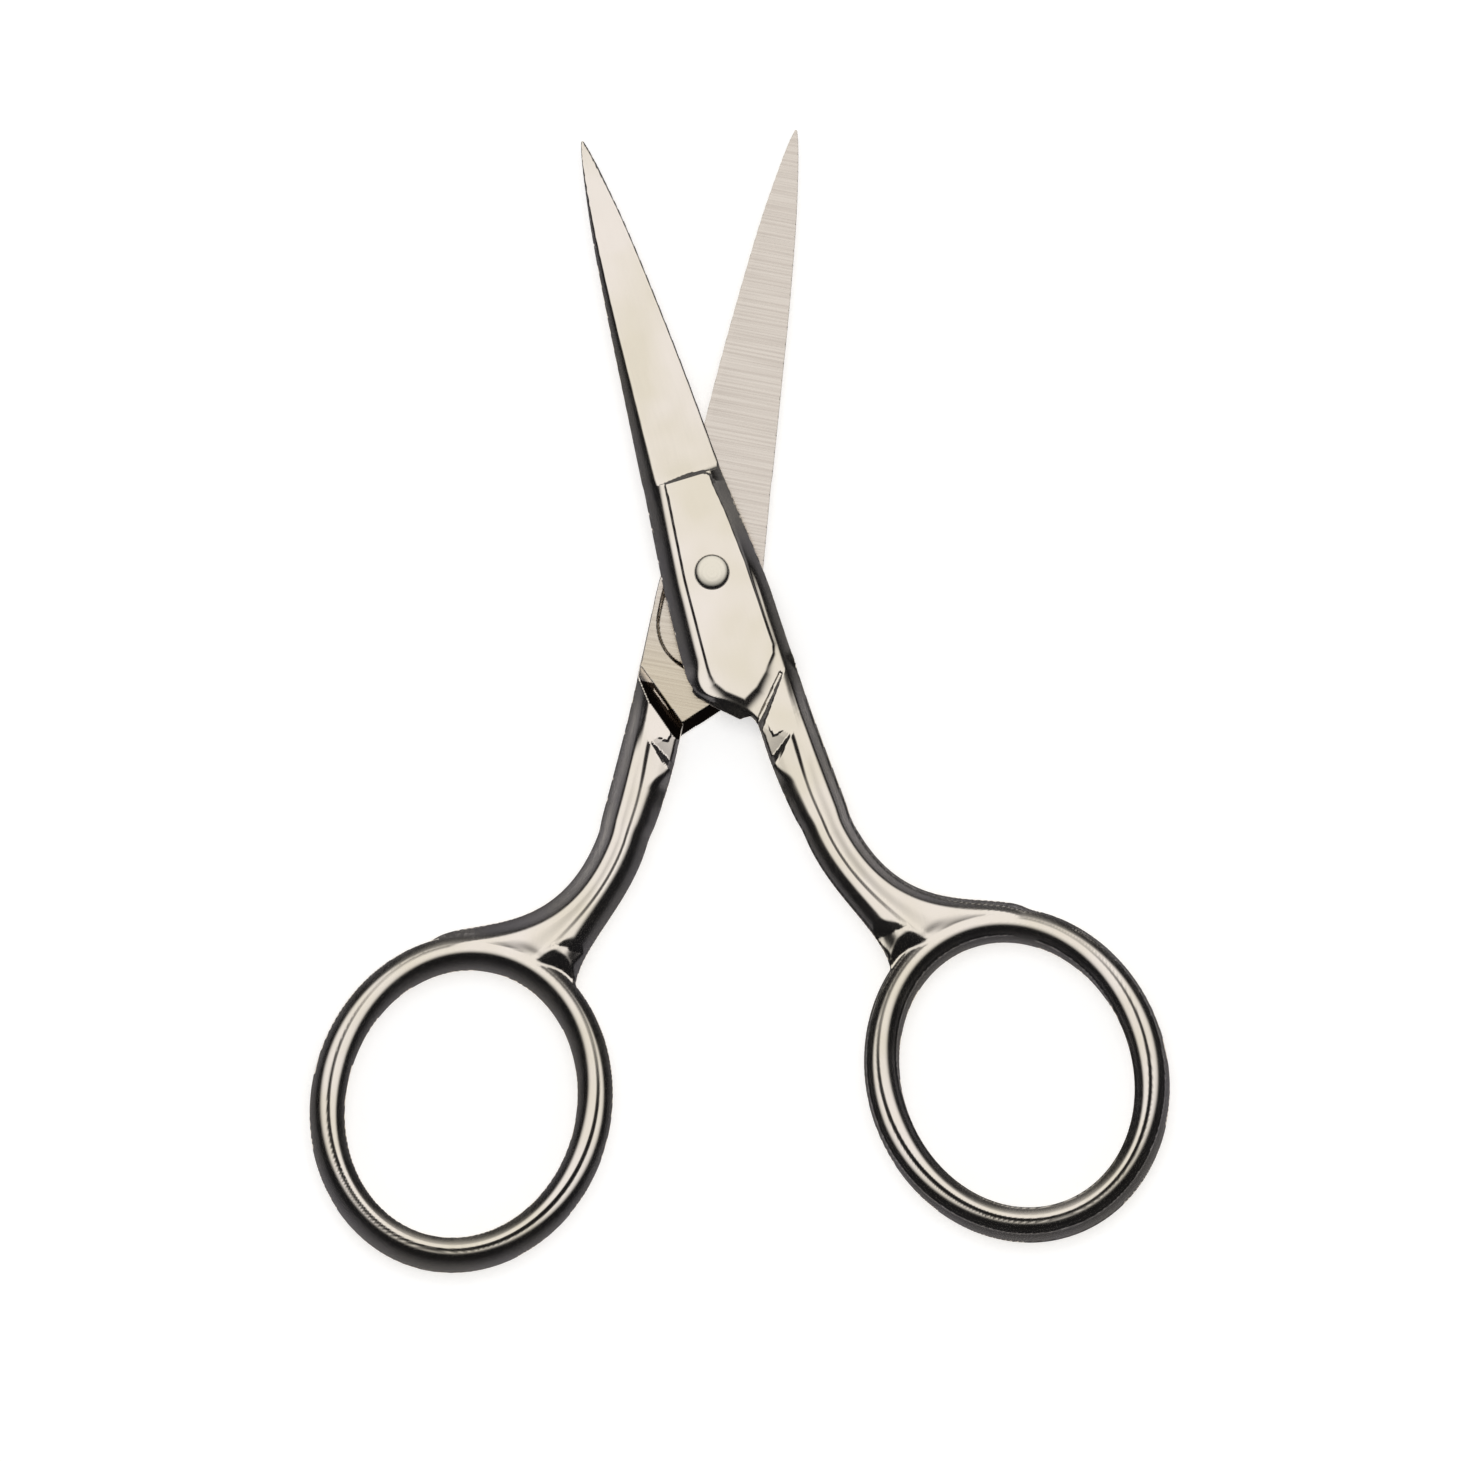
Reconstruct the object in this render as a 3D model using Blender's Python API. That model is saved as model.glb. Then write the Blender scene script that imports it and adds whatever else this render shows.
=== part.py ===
"""Facial hair scissors, 90 mm long when closed: two forged halves that cross on a rivet.

Each half is one forging, drawn in its own frame. The rivet's axis is the origin, +Y runs to
the blade's tip, the finger ring lies towards +X, and z = 0 is the shear plane, where the two
inner faces meet. The rear half is the same forging turned half round its long axis.
The whole stands on the rear half's pad, with the rivet's axis as +Z.
"""

import math

import bmesh
import bpy
from mathutils import Matrix, Vector

# All sizes are in metres, and angles are in degrees.

# The pose: each half stands this far from the middle line.
HALF_OPENING = 13.78

# Blade
BLADE_REACH = 0.0341
BLADE_ROOT = 0.0074
SPINE_OFFSET = 0.00316
EDGE_OFFSET = 0.00286
TIP_WIDTH = 0.00024
SPINE_THICKNESS = 0.00145
TIP_THICKNESS = 0.00050
EDGE_THICKNESS = 0.00030
SPINE_BEVEL = 0.00110
EDGE_ROUNDING = 0.00003
ROOT_FILLET = 0.00070
HOLLOW_START = 0.0015
HOLLOW_DEPTH = 0.00012
HOLLOW_RIM = 0.00038
HOLLOW_RUNOUT = 0.0077

# Box, the thick middle that carries the rivet
BOX_THICKNESS = 0.00172
BOX_INNER_OFFSET = 0.00415
BOX_OUTER_OFFSET = 0.00392
INNER_GAP = 0.00008
SIDE_ROUNDING = 0.00100
PAD_STEP = 0.00014
PAD_INNER_MARGIN = 0.00162
PAD_OUTER_MARGIN = 0.00082
PAD_FOOT_MARGIN = 0.00104
PAD_FOOT = 0.0103
LEDGE_DROP = 0.00070

# Shank
SHANK_TOP = 0.0121
SHANK_TOP_WIDTH = 0.00418
SHANK_THICKNESS = 0.00310
NECK_DOWN = 0.0215
NECK_OUT = 0.00482
NECK_WIDTH = 0.00384
BEND_DROP = 0.00876
SHANK_ROUNDING = 0.00078
BEAD_RISE = 0.00012
CREASE_DEPTH = 0.00012

# The box's foot ends in a slanted face that closes against the other half's shoulder. Both
# lie FOOT_REACH from the rivet at the shear plane, and FOOT_RUN further at the shank's back.
FOOT_REACH = 0.0084
FOOT_RUN = 0.0010
FOOT_ANGLE = 43.3
SHOULDER_CLEARANCE = 0.00012
WEB_HEIGHT = 0.00135
WEB_LEAN = 0.00045

# Groove and barb that are carved where the shank leaves the box
GROOVE_SLANT = 0.00040
GROOVE_WIDTH = 0.00120
GROOVE_DEPTH = 0.00070
BARB_LENGTH = 0.0022
BARB_WIDTH = 0.00050
BARB_DEPTH = 0.00025
BARB_DROP = 0.00112
BARB_ANGLE = 47.7

# Finger ring, which passes the halves' middle line by RING_INSET when the scissors are shut
HOLE_WIDTH = 0.01740
HOLE_LENGTH = 0.02038
RING_WIRE = 0.00270
RING_THICKNESS = 0.00262
RING_INSET = 0.00028
RING_LEAN = 4.0
NOTCH_TURN = 12.0
NOTCH_AIM = 90.0
NOTCH_LENGTH = 0.0036
NOTCH_WIDTH = 0.0019
NOTCH_DEPTH = 0.00075

# Rivet
RIVET_DIAMETER = 0.00190
RIVET_CLEARANCE = 0.00004
HEAD_DIAMETER = 0.00270
HEAD_HEIGHT = 0.00048
HEAD_RIM = 0.00014
TAIL_FLARE = 0.00030
TAIL_DEPTH = 0.00045

# Every cutter reaches this far past what it cuts, and a wide one spreads this many times as
# far as the sides that it cuts between.
OVERRUN = 0.0010
CUTTER_SPREAD = 2.0

# Counts
BLADE_STEPS = 13
FILLET_STEPS = 3
SHANK_STEPS = 6
FAN_STEPS = 12
RING_STEPS = 56
RING_SIDES = 14
ROUND_STEPS = 36
HOLLOW_STEPS = 7
RUNOUT_STEPS = 5
HOLLOW_SIDES = 6
# The web starts beside this row of INNER_SIDE_SHARES.
WEB_ROW = 3
BLADE_STEP_POWER = 1.4
RUNOUT_TURN = 82.0
ROUNDING_TURNS = (35.0, 65.0, 90.0)
DOME_TURNS = (4.0, 22.0, 42.0, 62.0, 80.0)
CREASE_TURN = 28.0

# Blade outline: (share of the way from tip to root, share of the spine's and of the edge's offset)
BLADE_SHARES = (
    (0.00, 0.00, 0.00), (0.04, 0.09, 0.10), (0.12, 0.22, 0.24), (0.27, 0.41, 0.45),
    (0.50, 0.625, 0.67), (0.73, 0.80, 0.845), (1.00, 1.00, 1.00),
)
# Inner side of the box below the rivet: (share of SHANK_TOP, share of BOX_INNER_OFFSET)
INNER_SIDE_SHARES = (
    (0.00, 0.930), (0.18, 0.955), (0.35, 0.982), (0.52, 1.000), (0.61, 0.990), (0.685, 0.900),
    (0.755, 0.735), (0.83, 0.400), (0.895, 0.180), (0.95, 0.060), (1.00, 0.000),
)
# Outer side of the box: (share of SHANK_TOP below the rivet, share of BOX_OUTER_OFFSET)
OUTER_SIDE_SHARES = ((0.00, 0.935), (0.18, 0.985), (0.36, 1.000))
# Where the upper box has its sections, in shares of BLADE_ROOT
UPPER_BOX_SHARES = (0.97, 0.75, 0.45, 0.20)
# The pad's foot in plan: (share across the pad's width, share of PAD_FOOT)
PAD_FOOT_SHARES = ((1.00, 0.64), (0.975, 0.71), (0.81, 0.835), (0.62, 0.93), (0.38, 1.00),
                   (0.13, 0.89), (0.015, 0.80), (0.00, 0.73))
# The pad's rounded upper corner: (share of PAD_OUTER_MARGIN inwards, and downwards)
PAD_CORNER_SHARES = ((0.75, 0.00), (0.30, 0.14), (0.06, 0.45), (0.00, 0.90))
# Across the top between the two roundings: places of bead, crease and facet
TOP_SHARES = (0.20, 0.40, 0.46, 0.52, 0.76)
# Height of those places: share of BEAD_RISE, less share of CREASE_DEPTH
BEAD_SHARES = (1.0, 0.45, 0.0, 0.25, 0.2)
CREASE_SHARES = (0.0, 0.0, 1.0, 0.0, 0.0)
# A rounded side leaves the shear plane upright for this share of its height
UPRIGHT_SHARE = 0.32
# The shank's top lies this share of its half thickness at its two edges
EDGE_HEIGHT_SHARE = 0.90
# Ring angles between which the shank runs into the ring, anticlockwise from +X, in degrees,
# and how far outside the wire's middle each end lies, as a share of half the wire
RING_JOIN_INNER = 127.0
RING_JOIN_OUTER = 58.0
JOIN_INNER_SHARE = 0.45
JOIN_OUTER_SHARE = 0.67
# The two edges of the bend, as (share out, share down) of the drop from neck to ring: one
# handle measured from the neck and one from the ring
INNER_BEND_SHARES = ((0.067, 0.596), (0.136, -0.378))
OUTER_BEND_SHARES = ((0.215, 1.054), (-0.154, -0.401))
# The shank's end inside the ring, as a share of the ring's half thickness
JOIN_HEIGHT_SHARE = 0.72
# How far the bend swings from straight across to the ring's curve: a power of its length
BEND_POWER = 2
# The shank's inner edge bends away from the middle line with this power of its length
SHANK_POWER = 2
# The spine's bevel takes at most this share of the blade's width
BEVEL_LIMIT_SHARE = 0.25
# The low ledge beside the pad: share of the box's length, and share of SIDE_ROUNDING
LEDGE_RUN_SHARE = 0.60
LEDGE_ROUNDING_SHARE = 0.25
# The pad's sides are set out at this share of BLADE_ROOT too
PAD_MIDDLE_SHARE = 0.55
# Depth of the hollow near the tip and its growth along the blade
HOLLOW_TIP_SHARE = 0.20
HOLLOW_GROWTH_SHARE = 4.0
# Groove, barb and notch narrow to these shares of their widths and depths
GROOVE_TAPER_SHARE = 0.20
BARB_TAPER_SHARES = (0.33, 0.50)
NOTCH_TAPER_SHARE = 0.17
# Where the groove ends and the barb peaks, in shares of SHANK_TOP_WIDTH
GROOVE_END_SHARE = 0.68
BARB_PEAK_SHARE = 0.54

INNER_FACE = INNER_GAP / 2.0
PAD_TOP = INNER_FACE + BOX_THICKNESS
SHEAR_PLANE = PAD_TOP
RING_OUT = HOLE_WIDTH / 2.0 + RING_WIRE - RING_INSET
RING_DOWN = NECK_DOWN + BEND_DROP + RING_WIRE + HOLE_LENGTH / 2.0

NICKEL = (0.78, 0.75, 0.71, 1.0)
FORGED_ROUGHNESS = 0.16
RIVET_ROUGHNESS = 0.22


def clear_scene():
    """Remove whatever the start-up file holds."""
    for thing in list(bpy.data.objects):
        bpy.data.objects.remove(thing, do_unlink=True)


def polished_metal(name, roughness):
    """Polished nickel-plated steel."""
    material = bpy.data.materials.new(name)
    material.use_nodes = True
    shader = material.node_tree.nodes["Principled BSDF"]
    shader.inputs["Base Color"].default_value = NICKEL
    shader.inputs["Metallic"].default_value = 1.0
    shader.inputs["Roughness"].default_value = roughness
    return material


def blend(a, b, share):
    """The value or vector that lies the given share of the way from a to b."""
    return a * (1.0 - share) + b * share


def read_curve(rows, place):
    """Read rows of (place, value) with rising places on a smooth curve through them."""
    if place <= rows[0][0]:
        return rows[0][1]
    if place >= rows[-1][0]:
        return rows[-1][1]
    slopes = []
    for index in range(len(rows)):
        before = rows[max(index - 1, 0)]
        after = rows[min(index + 1, len(rows) - 1)]
        slopes.append((after[1] - before[1]) / (after[0] - before[0]))
    for index in range(len(rows) - 1):
        low, high = rows[index], rows[index + 1]
        if place <= high[0]:
            span = high[0] - low[0]
            t = (place - low[0]) / span
            rise = (3.0 - 2.0 * t) * t * t
            start = t * (1.0 - t) * (1.0 - t) * slopes[index] * span
            end = t * t * (t - 1.0) * slopes[index + 1] * span
            return low[1] + (high[1] - low[1]) * rise + start + end
    return rows[-1][1]


def spine_at(t):
    """Distance of the spine from the blade's axis at a share t of the way from the tip."""
    share = read_curve([(row[0], row[1]) for row in BLADE_SHARES], t)
    return blend(TIP_WIDTH / 2.0, SPINE_OFFSET, share)


def edge_at(t):
    """Distance of the cutting edge from the blade's axis at a share t from the tip."""
    share = read_curve([(row[0], row[2]) for row in BLADE_SHARES], t)
    return blend(TIP_WIDTH / 2.0, EDGE_OFFSET, share)


def inner_side(y):
    """X of the half's inner side, away from its ring, at a height y from root to shank."""
    rows = [(-BLADE_ROOT, -SPINE_OFFSET)]
    for down, out in INNER_SIDE_SHARES:
        rows.append((down * SHANK_TOP, -out * BOX_INNER_OFFSET))
    return read_curve(rows, -y)


def outer_side(y):
    """X of the half's outer side, on its ring's side, at a height y from root to neck."""
    rows = [(-BLADE_ROOT, EDGE_OFFSET)]
    for down, out in OUTER_SIDE_SHARES:
        rows.append((down * SHANK_TOP, out * BOX_OUTER_OFFSET))
    rows.append((SHANK_TOP, SHANK_TOP_WIDTH))
    rows.append((NECK_DOWN, NECK_OUT))
    return read_curve(rows, -y)


def ring_point(angle, grow=0.0):
    """Point of the ring's middle line, grown outwards, at an angle round its centre."""
    turn = math.radians(angle)
    lean = Matrix.Rotation(math.radians(RING_LEAN), 2)
    across = HOLE_WIDTH / 2.0 + RING_WIRE / 2.0 + grow
    along = HOLE_LENGTH / 2.0 + RING_WIRE / 2.0 + grow
    point = lean @ Vector((across * math.cos(turn), along * math.sin(turn)))
    return point + Vector((RING_OUT, -RING_DOWN))


def profile(width, sides, bead=0.0):
    """Top of a section, from its inner silhouette to its outer one, as (across, up) pairs.

    sides holds the rounding's width and the top's height at the inner and at the outer side.
    bead is how fully the shank's bead and crease show.
    """
    (round_in, high_in), (round_out, high_out) = sides
    points = [(0.0, 0.0), (0.0, UPRIGHT_SHARE * high_in)]
    for degrees in ROUNDING_TURNS:
        lift = blend(UPRIGHT_SHARE, 1.0, math.sin(math.radians(degrees)))
        points.append((round_in * (1.0 - math.cos(math.radians(degrees))), lift * high_in))
    for place, rise, drop in zip(TOP_SHARES, BEAD_SHARES, CREASE_SHARES):
        height = blend(high_in, high_out, place) + bead * (rise * BEAD_RISE - drop * CREASE_DEPTH)
        points.append((blend(round_in, width - round_out, place), height))
    for degrees in reversed(ROUNDING_TURNS):
        lift = blend(UPRIGHT_SHARE, 1.0, math.sin(math.radians(degrees)))
        reach = round_out * (1.0 - math.cos(math.radians(degrees)))
        points.append((width - reach, lift * high_out))
    points.append((width, UPRIGHT_SHARE * high_out))
    points.append((width, 0.0))
    return points


def straight_station(y, left, right, sides, bead=0.0):
    """A section square to the half's axis, as 3-D points over its top."""
    return [Vector((left + across, y, up)) for across, up in profile(right - left, sides, bead)]


def blade_stations():
    """Sections from the tip to the step at the blade's root."""
    stations = []
    for step in range(BLADE_STEPS):
        t = (step / (BLADE_STEPS - 1.0)) ** BLADE_STEP_POWER
        y = blend(BLADE_REACH, BLADE_ROOT + ROOT_FILLET, t)
        spine = INNER_FACE + blend(TIP_THICKNESS, SPINE_THICKNESS, t)
        edge = INNER_FACE + blend(TIP_THICKNESS / 2.0, EDGE_THICKNESS, t)
        width = spine_at(t) + edge_at(t)
        bevel = min(SPINE_BEVEL * t, width * BEVEL_LIMIT_SHARE) + EDGE_ROUNDING
        sides = ((bevel, spine), (EDGE_ROUNDING, edge))
        stations.append(straight_station(y, -spine_at(t), edge_at(t), sides))
    return stations


def box_sides(y):
    """Roundings and heights of the bar under the pad at a height y."""
    share = (BLADE_ROOT - y) / (BLADE_ROOT + SHANK_TOP)
    low = min(share / LEDGE_RUN_SHARE, 1.0)
    height = PAD_TOP - PAD_STEP
    inner = (SIDE_ROUNDING, height)
    rounding = SIDE_ROUNDING * blend(LEDGE_ROUNDING_SHARE, 1.0, low)
    outer = (rounding, height - LEDGE_DROP * (1.0 - low))
    return inner, outer


def fillet_stations():
    """The hollow fillet that rises from the blade's face to the step."""
    stations = []
    spine = INNER_FACE + SPINE_THICKNESS
    edge = INNER_FACE + EDGE_THICKNESS
    (round_in, high_in), (round_out, high_out) = box_sides(BLADE_ROOT)
    for step in range(1, FILLET_STEPS + 1):
        turn = math.radians(90.0 * step / FILLET_STEPS)
        rise = 1.0 - math.cos(turn)
        y = BLADE_ROOT + ROOT_FILLET * (1.0 - math.sin(turn))
        inner = (blend(SPINE_BEVEL, round_in, rise), blend(spine, high_in, rise))
        outer = (blend(EDGE_ROUNDING, round_out, rise), blend(edge, high_out, rise))
        stations.append(straight_station(y, -SPINE_OFFSET, EDGE_OFFSET, (inner, outer)))
    return stations


def box_stations():
    """Sections of the bar under the pad, down to where the shank begins."""
    places = [share * BLADE_ROOT for share in UPPER_BOX_SHARES]
    places += [-down * SHANK_TOP for down, out in INNER_SIDE_SHARES[:-1]]
    return [straight_station(y, inner_side(y), outer_side(y), box_sides(y)) for y in places]


def shank_sides(half_height):
    """Roundings and heights of the shank's section."""
    high = EDGE_HEIGHT_SHARE * half_height
    return (SHANK_ROUNDING, high), (SHANK_ROUNDING, high)


def shank_stations():
    """Sections of the straight part of the shank, from the groove to the neck."""
    stations = []
    for step in range(SHANK_STEPS):
        share = step / (SHANK_STEPS - 1.0)
        y = -blend(SHANK_TOP, NECK_DOWN, share)
        left = (NECK_OUT - NECK_WIDTH) * share ** SHANK_POWER
        sides = shank_sides(SHANK_THICKNESS / 2.0)
        stations.append(straight_station(y, left, outer_side(y), sides, 1.0))
    return stations


def bezier(points, t):
    """Point at t on the cubic curve with the given four control points."""
    near = [blend(points[i], points[i + 1], t) for i in range(3)]
    mid = [blend(near[i], near[i + 1], t) for i in range(2)]
    return blend(mid[0], mid[1], t)


def join_point(u):
    """Where the shank's end lies inside the ring, a share u across from inner to outer edge."""
    angle = blend(RING_JOIN_INNER, RING_JOIN_OUTER, u)
    return ring_point(angle, blend(JOIN_INNER_SHARE, JOIN_OUTER_SHARE, u) * RING_WIRE / 2.0)


def bend(start, end, shares):
    """Control points of one edge of the bend between the neck and the ring."""
    handles = [Vector((out * BEND_DROP, -down * BEND_DROP)) for out, down in shares]
    return start, start + handles[0], end + handles[1], end


def fan_stations():
    """The shank bends out and widens until it lies along the ring's middle line."""
    left_start = Vector((NECK_OUT - NECK_WIDTH, -NECK_DOWN))
    right_start = Vector((NECK_OUT, -NECK_DOWN))
    left_end = join_point(0.0)
    right_end = join_point(1.0)
    left_curve = bend(left_start, left_end, INNER_BEND_SHARES)
    right_curve = bend(right_start, right_end, OUTER_BEND_SHARES)
    stations = []
    for step in range(1, FAN_STEPS + 1):
        s = step / FAN_STEPS
        left = bezier(left_curve, s)
        right = bezier(right_curve, s)
        width = (right - left).length
        half_height = blend(SHANK_THICKNESS / 2.0, JOIN_HEIGHT_SHARE * RING_THICKNESS / 2.0, s)
        points = []
        for across, up in profile(width, shank_sides(half_height), 1.0 - s):
            u = across / width
            chord = blend(left, right, u)
            flat = blend(left_end, right_end, u)
            place = chord + (join_point(u) - flat) * s ** BEND_POWER
            points.append(Vector((place.x, place.y, up)))
        stations.append(points)
    return stations


def mirror_down(top):
    """Close a section by adding its mirror image below the shear plane."""
    under = [Vector((p.x, p.y, -p.z)) for p in reversed(top[1:-1])]
    return top + under


def ladder(row):
    """Faces over the end of a section, each from its top straight down to its mirror image."""
    count = len(row)
    faces = [(row[0], row[1], row[-1])]
    for i in range(1, count // 2 - 1):
        faces.append((row[i], row[i + 1], row[count - i - 1], row[count - i]))
    faces.append((row[count // 2 - 1], row[count // 2], row[count // 2 + 1]))
    return faces


def skin(rings, closed_path=False, mirrored=False):
    """A closed mesh through rings of points, capped at both ends unless the path closes."""
    mesh = bmesh.new()
    rows = [[mesh.verts.new(point) for point in ring] for ring in rings]
    pairs = list(zip(rows, rows[1:]))
    if closed_path:
        pairs.append((rows[-1], rows[0]))
    elif mirrored:
        for face in ladder(rows[0]) + ladder(rows[-1]):
            mesh.faces.new(face)
    else:
        mesh.faces.new(rows[0])
        mesh.faces.new(list(reversed(rows[-1])))
    for row, following in pairs:
        for i in range(len(row)):
            j = (i + 1) % len(row)
            mesh.faces.new((row[i], following[i], following[j], row[j]))
    bmesh.ops.recalc_face_normals(mesh, faces=mesh.faces)
    return mesh


def new_object(name, mesh):
    """Put a bmesh into the scene as an object."""
    data = bpy.data.meshes.new(name)
    mesh.to_mesh(data)
    mesh.free()
    thing = bpy.data.objects.new(name, data)
    bpy.context.scene.collection.objects.link(thing)
    return thing


def combine(target, tool, operation):
    """Unite or cut target with tool, exactly, and drop the tool."""
    modifier = target.modifiers.new("tool", "BOOLEAN")
    modifier.operation = operation
    modifier.object = tool
    graph = bpy.context.evaluated_depsgraph_get()
    result = bpy.data.meshes.new_from_object(target.evaluated_get(graph))
    target.modifiers.clear()
    target.data = result
    bpy.data.objects.remove(tool, do_unlink=True)


def bar():
    """Blade, box and shank drawn out as one bar, alike above and below the shear plane."""
    stations = blade_stations() + fillet_stations() + box_stations()
    stations += shank_stations() + fan_stations()
    return new_object("bar", skin([mirror_down(top) for top in stations], mirrored=True))


def pad():
    """The flat raised pad that the rivet's head sits on."""
    middle = PAD_MIDDLE_SHARE * BLADE_ROOT
    inner = [Vector((inner_side(y) + PAD_INNER_MARGIN, y)) for y in (0.0, middle, BLADE_ROOT)]
    corner_x = outer_side(BLADE_ROOT) - PAD_OUTER_MARGIN
    corner = [Vector((corner_x - inwards * PAD_OUTER_MARGIN, BLADE_ROOT - down * PAD_OUTER_MARGIN))
              for inwards, down in PAD_CORNER_SHARES]
    outer = [Vector((outer_side(middle) - PAD_OUTER_MARGIN, middle)),
             Vector((outer_side(0.0) - (PAD_OUTER_MARGIN + PAD_FOOT_MARGIN) / 2.0, 0.0))]
    foot = []
    foot_start = -PAD_FOOT * PAD_FOOT_SHARES[0][1]
    left = inner_side(foot_start) + PAD_INNER_MARGIN
    right = outer_side(foot_start) - PAD_FOOT_MARGIN
    for across, down in PAD_FOOT_SHARES:
        foot.append(Vector((blend(left, right, across), -down * PAD_FOOT)))
    outline = inner + corner + outer + foot
    still = [Vector((0.0, 0.0))] * len(outline)
    return slanted("pad", outline, still, PAD_TOP - PAD_STEP - LEDGE_DROP - INNER_FACE, PAD_TOP)


def ring():
    """The finger ring, a rounded wire bent to a leaning oval."""
    rings = []
    for step in range(RING_STEPS):
        angle = 360.0 * step / RING_STEPS
        section = []
        for side in range(RING_SIDES):
            turn = 2.0 * math.pi * side / RING_SIDES
            place = ring_point(angle, RING_WIRE / 2.0 * math.cos(turn))
            section.append(Vector((place.x, place.y, RING_THICKNESS / 2.0 * math.sin(turn))))
        rings.append(section)
    return new_object("ring", skin(rings, closed_path=True))


def foot_point(distance, x, side):
    """Plan point at x on the line that lies the given distance from the rivet at the foot.

    side is +1 for the shoulder, under the ring's side, and -1 for the foot's own face.
    """
    tilt = math.radians(FOOT_ANGLE)
    return Vector((x, (side * x * math.sin(tilt) - distance) / math.cos(tilt)))


def slanted(name, outline, moves, low, high):
    """A solid on a plan outline at its high end, whose low end has moved by one vector a point."""
    top = [Vector((p.x, p.y, high)) for p in outline]
    bottom = [Vector((p.x + q.x, p.y + q.y, low)) for p, q in zip(outline, moves)]
    return new_object(name, skin([top, bottom]))


def seat():
    """Cutter for the milled inner face, from past the tip down to the shoulder's wall."""
    wide = CUTTER_SPREAD * (BOX_INNER_OFFSET + SHANK_TOP_WIDTH)
    distance = FOOT_REACH + SHOULDER_CLEARANCE
    low = -SHANK_THICKNESS
    run = FOOT_RUN * (INNER_FACE - low) / (SHANK_THICKNESS / 2.0)
    near = [foot_point(distance, x, 1.0) for x in (-wide, wide)]
    deep = [foot_point(distance + run, x, 1.0) for x in (-wide, wide)]
    far = BLADE_REACH + wide
    outline = near + [Vector((wide, far)), Vector((-wide, far))]
    still = Vector((0.0, 0.0))
    moves = [b - a for a, b in zip(near, deep)] + [still, still]
    return slanted("seat", outline, moves, low, INNER_FACE)


def foot_face():
    """Cutter for the slanted face that the box's foot closes against the shoulder with."""
    high = PAD_TOP + OVERRUN
    wide = CUTTER_SPREAD * BOX_INNER_OFFSET
    run = FOOT_RUN * high / (SHANK_THICKNESS / 2.0)
    near = [foot_point(FOOT_REACH, x, -1.0) for x in (-wide, 0.0)]
    deep = [foot_point(FOOT_REACH + run, x, -1.0) for x in (-wide, 0.0)]
    far = deep[1].y - OVERRUN
    outline = deep + [Vector((0.0, far)), Vector((-wide, far))]
    still = Vector((0.0, 0.0))
    moves = [a - b for a, b in zip(near, deep)] + [still, still]
    return slanted("foot_face", outline, moves, 0.0, high)


def web():
    """The rear half's foot is left full, right up to its slanted face."""
    reach = FOOT_REACH + FOOT_RUN
    down, out = INNER_SIDE_SHARES[WEB_ROW]
    side = -out * BOX_INNER_OFFSET
    start = -down * SHANK_TOP
    inside = side + PAD_INNER_MARGIN
    outline = [Vector((side + WEB_LEAN, start)), foot_point(reach, side + WEB_LEAN, -1.0),
               foot_point(reach, EDGE_ROUNDING, -1.0), Vector((SHANK_ROUNDING, -SHANK_TOP)),
               Vector((inside, start))]
    still = Vector((0.0, 0.0))
    corner = foot_point(reach, side, -1.0)
    moves = [Vector((-WEB_LEAN, 0.0)), corner - outline[1], still, still, still]
    return slanted("web", outline, moves, 0.0, WEB_HEIGHT)


def hollow():
    """Cutter for the shallow hollow that is ground into the blade's inner face."""
    round_start = BOX_OUTER_OFFSET - HOLLOW_RUNOUT
    places = []
    for step in range(HOLLOW_STEPS):
        share = step / HOLLOW_STEPS
        y = blend(BLADE_REACH - HOLLOW_START, round_start, share)
        places.append((y, 1.0, min(1.0, HOLLOW_TIP_SHARE + HOLLOW_GROWTH_SHARE * share)))
    for step in range(RUNOUT_STEPS):
        turn = math.radians(RUNOUT_TURN * step / (RUNOUT_STEPS - 1.0))
        y = round_start - BOX_OUTER_OFFSET * math.sin(turn)
        places.append((y, math.cos(turn), max(math.cos(turn), HOLLOW_TIP_SHARE)))
    rings = []
    for y, squeeze, fade in places:
        if y > BLADE_ROOT:
            t = (BLADE_REACH - y) / (BLADE_REACH - BLADE_ROOT)
            left, right = -spine_at(t), edge_at(t)
        else:
            left, right = inner_side(y), outer_side(y)
        middle = (left + right) / 2.0
        reach = max((right - left) / 2.0 - HOLLOW_RIM, EDGE_ROUNDING) * squeeze
        section = [Vector((middle - reach, y, -OVERRUN)), Vector((middle + reach, y, -OVERRUN))]
        for side in range(HOLLOW_SIDES + 1):
            u = 1.0 - 2.0 * side / HOLLOW_SIDES
            rise = INNER_FACE + HOLLOW_DEPTH * fade * (1.0 - u * u)
            section.append(Vector((middle + reach * u, y, rise)))
        rings.append(section)
    return new_object("hollow", skin(rings))


def vee(name, start, end, widths, depths, surface, face):
    """Cutter for a V groove between two plan points. face is +1 on top and -1 underneath."""
    along = (end - start).normalized()
    across = Vector((-along.y, along.x))
    rings = []
    for point, width, depth in zip((start, end), widths, depths):
        flare = (depth + OVERRUN) / depth
        high = surface + OVERRUN
        section = [point + across * (width / 2.0 * flare), point - across * (width / 2.0 * flare)]
        rings.append([Vector((section[0].x, section[0].y, face * high)),
                      Vector((section[1].x, section[1].y, face * high)),
                      Vector((point.x, point.y, face * (surface - depth)))])
    return new_object(name, skin(rings))


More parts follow.
